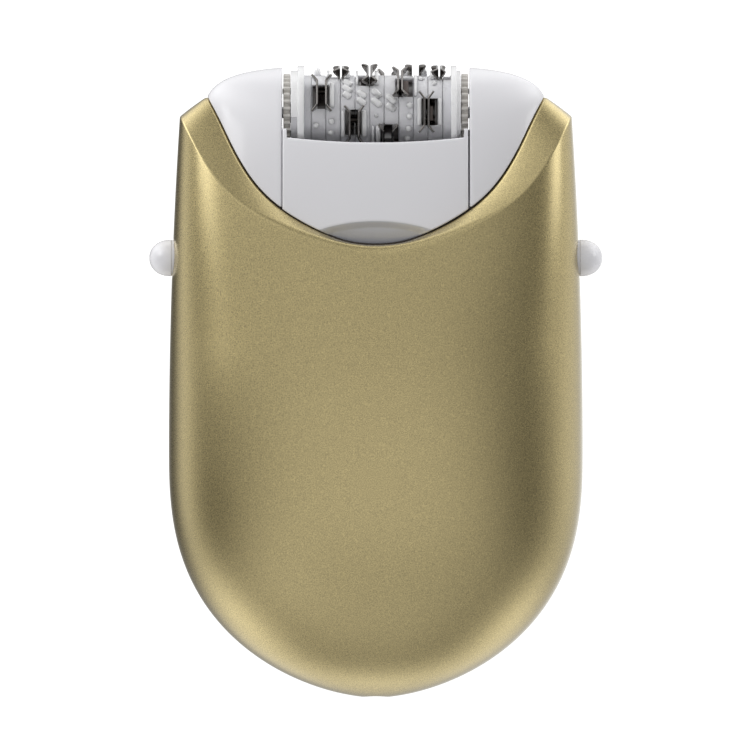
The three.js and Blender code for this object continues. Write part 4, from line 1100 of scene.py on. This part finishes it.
def drum_disc(x0, x1, left=None, right=None, tail=None, step=1.5, lead=0.13):
    """A disc of the drum as a closed skin. left and right are the joints at its two sides, whose
    windows cut into it. tail is an outline (x, radius) that takes the place of the right side. The
    inner part of the left side reaches over to the next disc."""
    phi = np.arange(0, 360, step)
    marks = []
    for j in (left, right):
        if j:
            for a in (j["deg"], j["deg"] + 180):
                marks += [a - HALF_WINDOW - 0.3, a - HALF_WINDOW + 0.02, a + HALF_WINDOW - 0.02, a + HALF_WINDOW + 0.3]
    marks = np.array(marks) % 360 if marks else np.zeros(0)
    if len(marks):
        gap = np.min(np.abs(wrap(phi[:, None] - marks[None])), 1)
        phi = phi[gap > step * 0.35]
    phi = np.sort(np.concatenate([phi, marks]))
    rows = []
    e = 0.12

    def opening(j):
        inside = np.zeros(len(phi), bool)
        if j:
            for a in (j["deg"], j["deg"] + 180):
                inside |= np.abs(wrap(phi - a)) < HALF_WINDOW
        return inside

    def side(j, wall, sgn):
        """Recess and slot limits of joint j seen from the wall at x = wall, which faces -sgn."""
        if not j:
            return wall, np.full(len(phi), wall), opening(None)
        slot, rec = span_of(j, 0.48, j["far"]), span_of(j, 0.25, CLOSED + TRAVEL + 0.27)
        s, r = (slot[1], rec[1]) if sgn > 0 else (slot[0], rec[0])
        inside = opening(j)
        if (s - wall) * sgn <= 0.02:
            return wall, np.full(len(phi), wall), opening(None)
        if (r - wall) * sgn <= 0.02:
            r = wall
        return r, np.where(inside, s, wall), inside

    def warped(r, j):
        """The angles with the sides of the windows kept parallel at smaller radii."""
        if not j or r >= R_DISC or r < 4:
            return phi
        out = phi.copy()
        h = math.degrees(math.asin(HALF_SLOT / r))
        reach = HALF_WINDOW + 9.0
        for a in (j["deg"], j["deg"] + 180):
            d = wrap(phi - a)
            m = np.abs(d)
            new = np.where(m <= HALF_WINDOW, m * h / HALF_WINDOW, h + (m - HALF_WINDOW) / (reach - HALF_WINDOW) * (reach - h))
            out = np.where(m < reach, a + np.sign(d) * new, out)
        return out

    rl, sl, il = side(left, x0, 1)
    rr, sr, ir = side(right, x1, -1) if tail is None else (x1, np.full(len(phi), x1), opening(None))
    over = sl > sr - 0.12
    sl = np.where(over & il, np.minimum(sl, x1 - 0.02), sl)
    sr = np.where(over & ir, np.maximum(sr, x0 + 0.02), sr)
    sr = np.maximum(sr, sl + 0.02)

    def add(x, r, j=None):
        x = np.broadcast_to(np.asarray(x, float), phi.shape)
        a = np.radians(warped(float(r), j))
        rows.append(np.stack([x, DRUM_Y + r * np.sin(a), ZC + r * np.cos(a)], 1))

    open_left = opening(left)
    reach = np.where(open_left, sl, x0 - lead)
    rim_in = R_DISC - 0.3
    add(x0, 1.25)
    add(x0, 2.3)
    if rl != x0:
        add(rl, 2.3)
        add(rl, R_CAVITY, left)
    else:
        add(x0, R_CAVITY, left)
    add(reach, R_CAVITY, left)
    add(reach, rim_in, left)
    add(sl, rim_in, left)
    add(sl, R_DISC - e)
    end = sr if tail is None else np.full(len(phi), tail[0][0])
    for f in (0.0, 0.3, 0.65, 1.0):
        b = e * (1 - math.sin(math.acos(1 - f)))
        add(np.minimum(sl + e * f * 0.98 + 0.002, end - 0.004), R_DISC - b)
    for f in (0.25, 0.5, 0.75):
        add(sl + e + (np.maximum(end - e, sl + e + 0.01) - sl - e) * f, R_DISC)
    if tail is None:
        for f in (1.0, 0.65, 0.3, 0.0):
            b = e * (1 - math.sin(math.acos(1 - f)))
            add(np.maximum(end - e * f * 0.98 - 0.002, sl + 0.004), R_DISC - b)
        add(sr, R_DISC - e)
        add(sr, rim_in, right)
        add(sr, R_CAVITY, right)
        if rr != x1:
            add(rr, R_CAVITY, right)
            add(rr, 2.3)
        add(x1, 2.3)
        add(x1, 1.25)
    else:
        for x, r in tail:
            add(x, r)
    G = np.stack(rows)
    n, m = G.shape[:2]
    return G.reshape(-1, 3), grid_faces(n, m, close_u=True, close_v=True)


for i in range(1, 10):
    a, b = joint_x(i) + GAP, joint_x(i + 1) - GAP
    v, f = parts_join([drum_disc(a, b, BY_N.get(i), BY_N.get(i + 1))] + features(a, b))
    make("disc_ring_%d" % i, v, f, "drum", DRUM, "drum_white", ["drum_disc_%d" % i], sharp=48)

left_end = rounded([(1.25, -14.85), (7.3, -14.85), (7.3, -13.7), (8.2, -13.7), (8.2, -12.5), (6.5, -12.5), (6.5, joint_x(1) - GAP), (1.25, joint_x(1) - GAP)],
                   [0, 0.18, 0.12, 0.2, 0.2, 0.1, 0.12, 0], 4)
v, f = lathe(left_end, "x", (0, DRUM_Y, ZC), 240, closed=True)
# a step in the ring beside the flange, once on each side
radius = np.hypot(v[:, 1] - DRUM_Y, v[:, 2] - ZC)
turn = wrap(np.degrees(np.arctan2(v[:, 1] - DRUM_Y, v[:, 2] - ZC)))
low = (v[:, 0] < -13.68) & (radius > 6.62) & (radius < 7.35) & ((wrap(turn + 42) > -34) & (wrap(turn + 42) < 34) | (wrap(turn - 138) > -34) & (wrap(turn - 138) < 34))
v[low, 1:] = np.array([DRUM_Y, ZC]) + (v[low, 1:] - np.array([DRUM_Y, ZC])) * (6.6 / radius[low])[:, None]
make("drum_cap_left", v, f, "drum", DRUM, "drum_white", ["drum_end_left"])
# pushers beside a moving plate that show in two of the windows, coloured dark umber as painted shade
v, f = box_loops(4.8, 5.7, DRUM_Y - 1.9, DRUM_Y + 1.9, ZC + 5.48, ZC + 5.9, 0.12)
v = np.asarray(v, float)
y, z, q = v[:, 1] - DRUM_Y, v[:, 2] - ZC, math.sqrt(0.5)
upper = (np.stack([v[:, 0], DRUM_Y + (y + z) * q, ZC + (z - y) * q], 1), f)
lower = (np.stack([v[:, 0], DRUM_Y - (y + z) * q, ZC - (z - y) * q], 1), f)
make("plate_pushers", *parts_join([upper, lower, box_loops(9.385, 9.98, DRUM_Y - 1.5, DRUM_Y + 1.0, ZC + 5.48, ZC + 5.9, 0.12),
                                   box_loops(9.385, 9.98, DRUM_Y - 1.0, DRUM_Y + 1.5, ZC - 5.9, ZC - 5.48, 0.12)]), "comb_right_b", PUSHER_SHADE, "grey_plastic", ["tweezer_comb_right_b"])
tail = [(p[1], p[0]) for p in rounded([(6.5, 13.08), (6.5, 13.15), (8.2, 13.15), (8.2, 14.15), (7.3, 14.15), (7.3, 14.85), (1.25, 14.85)], [0, 0.03, 0.2, 0.2, 0.1, 0.18, 0], 4)]
v, f = drum_disc(joint_x(10) + GAP, 14.85, BY_N[10], None, tail=tail)
make("drum_cap_right", v, f, "drum", DRUM, "drum_white", ["drum_end_right"], sharp=48)


def wing_points(deg, x, u, r):
    a = math.radians(deg)
    x, u, r = np.broadcast_arrays(np.asarray(x, float), u, r)
    return np.stack([x, DRUM_Y + u * math.cos(a) + r * math.sin(a), ZC - u * math.sin(a) + r * math.cos(a)], -1)


def blade(deg, x, flare):
    """One wing of a tweezer plate: a flat blade whose two ends curl away in rounded leaves."""
    u = np.concatenate([-np.linspace(3.6, 2.28, 22), [-2.22, -1.1, 0, 1.1, 2.22], np.linspace(2.28, 3.6, 22)])
    a = np.abs(u)
    g = np.clip((a - 2.3) / (3.6 - 2.3), 0, 1)
    curl = 1.02 * np.sqrt(g * g + 0.006) - 1.02 * math.sqrt(0.006)
    curl = np.where(a < 2.25, 0.0, curl)
    tip = 7.62
    top = np.where(a < 2.4, 8.03, 8.03 - 0.12 * np.clip((a - 2.4) / 0.8, 0, 1))
    low = np.where(a < 2.25, 4.3, 6.3 + 0.55 * np.clip((a - 2.28) / 0.9, 0, 1) ** 1.3)
    end = np.sqrt(np.maximum(0.0, 1 - np.clip((a - 3.02) / 0.58, 0, 1) ** 2))
    top = np.where(a > 3.02, tip + (top - tip) * np.maximum(end, 0.03), top)
    low = np.where(a > 3.02, tip - (tip - low) * np.maximum(end, 0.03), low)
    t = BLADE_T
    slope = np.gradient(curl, u)
    nx, nu = 1 / np.sqrt(1 + slope**2), -slope / np.sqrt(1 + slope**2)
    room = (top - low) / 2.2
    drop = [0, 0.015, 0.06, 0.12, 0.19]
    thin = [0.2, 0.42, 0.74, 0.93, 1.0]
    levels = [low + np.minimum(q, room) for q in drop] + [(low + top) / 2] + [top - np.minimum(q, room) for q in drop[::-1]]
    thin = thin + [1.0] + thin[::-1]
    ring = []
    for s, order in ((1, range(11)), (-1, range(10, -1, -1))):
        for i in order:
            r = levels[i]
            ring.append(wing_points(deg, x + flare * curl + s * nx * t / 2 * thin[i], u + s * flare * nu * t / 2 * thin[i], r))
    return loops(np.stack(ring, 1))


def plate(x, deg, flare):
    """A tweezer plate: a ring with a wing on either side."""
    t = BLADE_T * 0.9
    ring = lathe([(2.65, x - t / 2), (2.72, x - t / 2), (5.13, x - t / 2), (5.2, x - t / 2 + 0.07), (5.2, x + t / 2 - 0.07), (5.13, x + t / 2), (2.72, x + t / 2), (2.65, x + t / 2)],
                 "x", (0, DRUM_Y, ZC), 60, closed=True)
    return [ring, blade(deg, x, flare), blade(deg + 180, x, flare)]


for i, j in enumerate(JOINTS):
    v, f = parts_join(plate(fixed_x(j), j["deg"], -j["side"]))
    make("fixed_tweezers_%d" % (i + 1), v, f, "drum", STEEL, "tweezer_steel", ["tweezer_plate_%d" % (i + 1)], sharp=45)

ROD_ANGLE = {"a": math.radians(20), "b": math.radians(110)}
for side, sname in ((-1, "left"), (1, "right")):
    for st in "ab":
        mine = [j for j in JOINTS if j["side"] == side and j["set"] == st]
        parts, rods = [], []
        for j in mine:
            parts += plate(moving_x(j), j["deg"], j["side"] * (0.7 if j["n"] == 10 else 1.0))
        reach = side * (16.3 - (0 if st == "a" else OPEN_MORE))
        inner = (max if side < 0 else min)(moving_x(j) for j in mine) - side * 0.1
        for turn in (0, math.pi):
            a = ROD_ANGLE[st] + turn
            x0, x1 = sorted((reach, inner))
            prof = rounded([(0, x0), (0.55, x0), (0.55, x1), (0, x1)], [0, 0.2, 0.2, 0], 3)
            parts.append(lathe(prof, "x", (0, DRUM_Y + ROD_R * math.cos(a), ZC + ROD_R * math.sin(a)), 20))
            rods.append(parts.pop())
        v, f = parts_join(parts)
        name = "comb_%s_%s" % (sname, st)
        make("push_rods_%s_%s" % (sname, st), *parts_join(rods), name, DARK_ROD, "tweezer_steel", ["tweezer_comb_%s_%s" % (sname, st)], sharp=45)
        make("moving_tweezers_%s_%s" % (sname, st), v, f, name, STEEL, "tweezer_steel", ["tweezer_comb_%s_%s" % (sname, st)], sharp=45)


def toothed_ring(x0, x1, teeth, module, phase, y, bore):
    """A spur gear with rounded teeth."""
    r = teeth * module / 2
    tip, root = r + 0.92 * module, r - 1.2 * module
    per = 16
    a = np.arange(teeth * per) * 2 * np.pi / (teeth * per)
    k = np.abs(((a * teeth / (2 * np.pi) + 0.5) % 1) - 0.5) * 2  # 0 on a tooth, 1 between teeth
    f = np.clip((k - 0.24) / 0.46, 0, 1)
    f = f * f * (3 - 2 * f)
    rad = tip + (root - tip) * f
    rad = rad - 0.05 * (1 - f) * (k / 0.3) ** 2 * (k < 0.3)
    ang = a + phase
    rows = []
    for x, d in ((x0, None), (x0, 0.14), (x0 + 0.05, 0.05), (x0 + 0.14, 0.0), (x1 - 0.14, 0.0), (x1 - 0.05, 0.05), (x1, 0.14), (x1, None)):
        q = np.full(len(a), bore) if d is None else rad - d
        rows.append(np.stack([np.full(len(a), x), y + q * np.cos(ang), ZC + q * np.sin(ang)], 1))
    G = np.stack(rows)
    return G.reshape(-1, 3), grid_faces(G.shape[0], G.shape[1], close_u=True, close_v=True)


rod_holes = [lathe([(0, -17.0), (0.64, -17.0), (0.64, 17.0), (0, 17.0)], "x", (0, DRUM_Y + ROD_R * math.cos(a), ZC + ROD_R * math.sin(a)), 24)
             for a in (ROD_ANGLE["a"], ROD_ANGLE["a"] + math.pi, ROD_ANGLE["b"], ROD_ANGLE["b"] + math.pi)]
ring_left = make("toothed_ring_left", *toothed_ring(-16.15, -14.95, 32, 0.4, math.pi / 32, DRUM_Y, 1.25), "drum", IVORY, "ivory_acetal", ["drum_gear_left"], sharp=50)
ring_right = make("toothed_ring_right", *toothed_ring(14.95, 16.15, 32, 0.4, math.pi / 32, DRUM_Y, 1.25), "drum", IVORY, "ivory_acetal", ["drum_gear_right"], sharp=50)
for ob in (ring_left, ring_right):
    cut(ob, rod_holes)
    refresh(ob, 50)

# ------------------------------------------------------------------ buttons, switch, screws
for side, name in ((-1, "left"), (1, "right")):
    prof = rounded([(0, 23.6), (1.6, 23.6), (1.6, 31.0), (4.2, 31.0), (4.2, 32.0), (3.12, 32.0), (3.12, 35.7), (3.2, 35.78), (3.2, 36.1)],
                   [0, 0.25, 0.3, 0.2, 0.2, 0.3, 0.04, 0.04, 0], 4)
    dome = []
    for a in np.linspace(0, 90, 17)[1:]:
        c, s = math.cos(math.radians(a)), math.sin(math.radians(a))
        dome.append((3.2 * c ** 0.94, 36.1 + (BUTTON_TIP - 36.1) * s))
    dome[-1] = (0, BUTTON_TIP)
    prof = [tuple(p) for p in prof] + dome
    make("release_button_%s_cap" % name, *lathe([(r, side * x) for r, x in prof], "x", (0, BUTTON_Y, ZC), 72), "button_" + name, WHITE, "white_gloss", ["release_button_" + name])

knob_y = SWITCH_Y - 2.5
ridges = [box_loops(-2.9, 2.9, knob_y + d - 0.3, knob_y + d + 0.3, 0.5, 1.2, 0.2, 3) for d in (-2.4, -0.8, 0.8, 2.4)]
knob = parts_join([box_loops(-3.4, 3.4, knob_y - 3.6, knob_y + 3.6, 0.95, 1.95, 0.35, 4), box_loops(-1.2, 1.2, knob_y - 1.3, knob_y + 1.3, 1.8, 3.9, 0.1, 2)] + ridges)
make("power_knob_cap", *knob, "switch_knob", WHITE, "white_gloss", ["power_knob"])

for i, (x, y) in enumerate(SCREWS):
    prof = rounded([(0, 5.0), (2.2, 5.0), (2.2, 7.2), (0.95, 7.2), (0.95, 24.4), (0, 24.9)], [0, 0.35, 0.1, 0.1, 0.2, 0], 4)
    ob = make("cover_screw_%d_head" % (i + 1), *lathe(prof, "z", (x, y, 0), 48), "handle", BRIGHT, "bright_steel", ["cover_screw_%d" % (i + 1)])
    cut(ob, [box_loops(x - 1.45, x + 1.45, y - 0.28, y + 0.28, 3.5, 6.0, 0.05, 1), box_loops(x - 0.28, x + 0.28, y - 1.45, y + 1.45, 3.5, 6.0, 0.05, 1)])
    refresh(ob)

socket_body = box_loops(-4.2, 4.2, -52.2, -43, ZC - 3.8, ZC + 3.8, 0.4)
collar = lathe(rounded([(1.75, -47.0), (1.75, -53.6), (2.15, -53.6), (2.15, -51.9), (1.8, -51.9)], [0, 0.1, 0.15, 0, 0], 3), "y", (0, 0, ZC), 48, closed=True)
pin = lathe(rounded([(0, -52.9), (0.5, -52.9), (0.5, -46.5), (0, -46.5)], [0, 0.25, 0, 0], 4), "y", (0, 0, ZC), 24)
ob = make("charging_socket_body", *socket_body, "handle", BLACK, "black_plastic", ["charging_socket"])
cut(ob, [lathe([(0, -54), (1.76, -54), (1.76, -46.6), (0, -46.6)], "y", (0, 0, ZC), 40)])
refresh(ob)
make("charging_socket_collar", *collar, "handle", BLACK, "black_plastic", ["charging_socket"])
make("charging_socket_pin", *pin, "handle", BRIGHT, "bright_steel")
lens = lathe(rounded([(0, 0.25), (1.25, 0.25), (1.25, 2.6), (1.9, 2.6), (1.9, 4.5), (0, 4.5)], [0, 0.4, 0, 0.1, 0.2, 0], 5), "z", (0, -3, 0), 40)
make("charge_light_window", *lens, "handle", LENS, "clear_lens", ["charge_light_lens"])

# ------------------------------------------------------------------ CAD nodes that stay
slots = {}
for row in frame["record"].get("materials", []):
    for n in row.get("nodes", []) or []:
        slots[n] = row.get("slot")
DEFAULT = {
    "chassis": "grey_plastic", "motor": "bright_steel", "motor_shaft": "bright_steel", "motor_pinion": "brass", "compound_gear": "ivory_acetal",
    "compound_axle": "bright_steel", "output_gear": "ivory_acetal", "output_axle": "bright_steel", "battery_cell": "cell_wrap",
    "battery_contact_left": "bright_steel", "battery_contact_right": "bright_steel", "circuit_board": "board_green", "power_switch": "black_plastic",
    "button_spring_left": "bright_steel", "button_spring_right": "bright_steel", "drum_axle": "bright_steel", "idler_gear": "ivory_acetal",
    "idler_axle": "bright_steel", "cam_roller_left": "bright_steel", "cam_roller_right": "bright_steel",
}
for n, ob in frame["nodes"].items():
    if ob.hide_render:
        continue
    slot = DEFAULT.get(n) or slots.get(n) or "grey_plastic"
    ob.data.materials.clear()
    ob.data.materials.append(BY_SLOT[slot])

# ------------------------------------------------------------------ floor, light, camera
scene = bpy.context.scene
scene.view_settings.view_transform = "Standard"
scene.view_settings.look = "None"
scene.view_settings.exposure = 0.0
scene.view_settings.gamma = 1.0

me = bpy.data.meshes.new("floor")
S = 2.2
me.from_pydata([(-S, -S, 0), (S, -S, 0), (S, S, 0), (-S, S, 0)], [], [[0, 1, 2, 3]])
floor = bpy.data.objects.new("floor", me)
scene.collection.objects.link(floor)
fm, fnt, fb = new_material("floor_white")
fb.inputs["Base Color"].default_value = (0.3, 0.3, 0.3, 1)
fb.inputs["Roughness"].default_value = 0.9
fb.inputs["Specular IOR Level"].default_value = 0.1
fb.inputs["Emission Color"].default_value = (1, 1, 1, 1)
fb.inputs["Emission Strength"].default_value = 1.0
me.materials.append(fm)
floor.visible_glossy = False

world = bpy.data.worlds.new("studio")
scene.world = world
world.use_nodes = True
bg = world.node_tree.nodes["Background"]
bg.inputs["Color"].default_value = (1.0, 1.0, 1.0, 1)
# soft patches of light round the dome: (angle from straight above, azimuth, strength)
BASE_GLOW = 0.0
GLOW = [
    (0, 0, 0.410), (102, 0, 0.506), (102, 135, 1.600), (102, 180, 0.729), (102, 225, 0.816), (102, 270, 0.935), (102, 315, 0.851),
    (102, 45, 1.581), (102, 90, 1.232), (130, 0, 0.521), (130, 120, 0.531), (130, 240, 0.821), (130, 300, 0.762), (130, 60, 1.141),
    (20, 0, 0.323), (20, 180, 0.298), (40, 225, 0.526), (40, 270, 0.281), (40, 315, 0.283), (40, 90, 0.559), (60, 135, 1.409),
    (60, 270, 0.294), (80, 0, 0.222), (80, 135, 1.600), (80, 225, 0.735), (80, 315, 0.479), (80, 45, 1.600), (170, 0, 0.9),
]
wt = world.node_tree
way = wt.nodes.new("ShaderNodeTexCoord")
total = None
for tilt, azimuth, strength in GLOW:
    t, a = math.radians(tilt), math.radians(azimuth)
    dot = wt.nodes.new("ShaderNodeVectorMath")
    dot.operation = "DOT_PRODUCT"
    dot.inputs[1].default_value = (math.sin(t) * math.cos(a), math.sin(t) * math.sin(a), math.cos(t))
    wt.links.new(way.outputs["Generated"], dot.inputs[0])
    near = wt.nodes.new("ShaderNodeMath")
    near.operation = "MULTIPLY_ADD"
    near.inputs[1].default_value, near.inputs[2].default_value = 14.0, -14.0
    wt.links.new(dot.outputs["Value"], near.inputs[0])
    fall = wt.nodes.new("ShaderNodeMath")
    fall.operation = "EXPONENT"
    wt.links.new(near.outputs[0], fall.inputs[0])
    add = wt.nodes.new("ShaderNodeMath")
    add.operation = "MULTIPLY_ADD"
    add.inputs[1].default_value = strength
    wt.links.new(fall.outputs[0], add.inputs[0])
    if total is None:
        add.inputs[2].default_value = BASE_GLOW
    else:
        wt.links.new(total, add.inputs[2])
    total = add.outputs[0]
wt.links.new(total, bg.inputs["Strength"])


def panel(name, place, target, size, radiance, colour=(1, 1, 1)):
    """A soft rectangular light of an even brightness, facing target."""
    from mathutils import Vector

    L = bpy.data.lights.new(name, "AREA")
    L.shape = "RECTANGLE"
    L.size, L.size_y = size
    L.energy = radiance * math.pi * size[0] * size[1]
    L.color = colour
    o = bpy.data.objects.new(name, L)
    scene.collection.objects.link(o)
    p, t = Vector(place), Vector(target)
    o.location = p
    o.rotation_euler = (t - p).to_track_quat("-Z", "Y").to_euler()
    return o


def around(tilt, azimuth, distance=1.7):
    t, a = math.radians(tilt), math.radians(azimuth)
    return (distance * math.sin(t) * math.cos(a), distance * math.sin(t) * math.sin(a), distance * math.cos(t))


panel("key_left", around(64, 152), (0, 0.03, 0.01), (0.34, 0.34), 1.22)
# two small soft boxes close to the shoulders
for name, place, target, size, radiance in (("near_left", (-0.160, 0.085, 0.115), (-0.030, 0.034, 0.025), 0.06, 1.7),
                                            ("near_right", (0.185, 0.078, 0.07), (0.0315, 0.034, 0.0245), 0.06, 1.7)):
    o = panel(name, place, target, (size, size), radiance)
    o.visible_camera = False

cam = bpy.data.cameras.new("camera")
cam.sensor_width = 36.0
cam.lens = 36.0 * 2.5 / 0.13125
cam.clip_start = 0.1
cam.clip_end = 20.0
camera = bpy.data.objects.new("camera", cam)
scene.collection.objects.link(camera)
camera.location = (-0.14 * MM, 0.9625 * MM, ZC * MM + 2.5)
camera.rotation_euler = (0, 0, 0)
scene.camera = camera

bpy.context.view_layer.update()
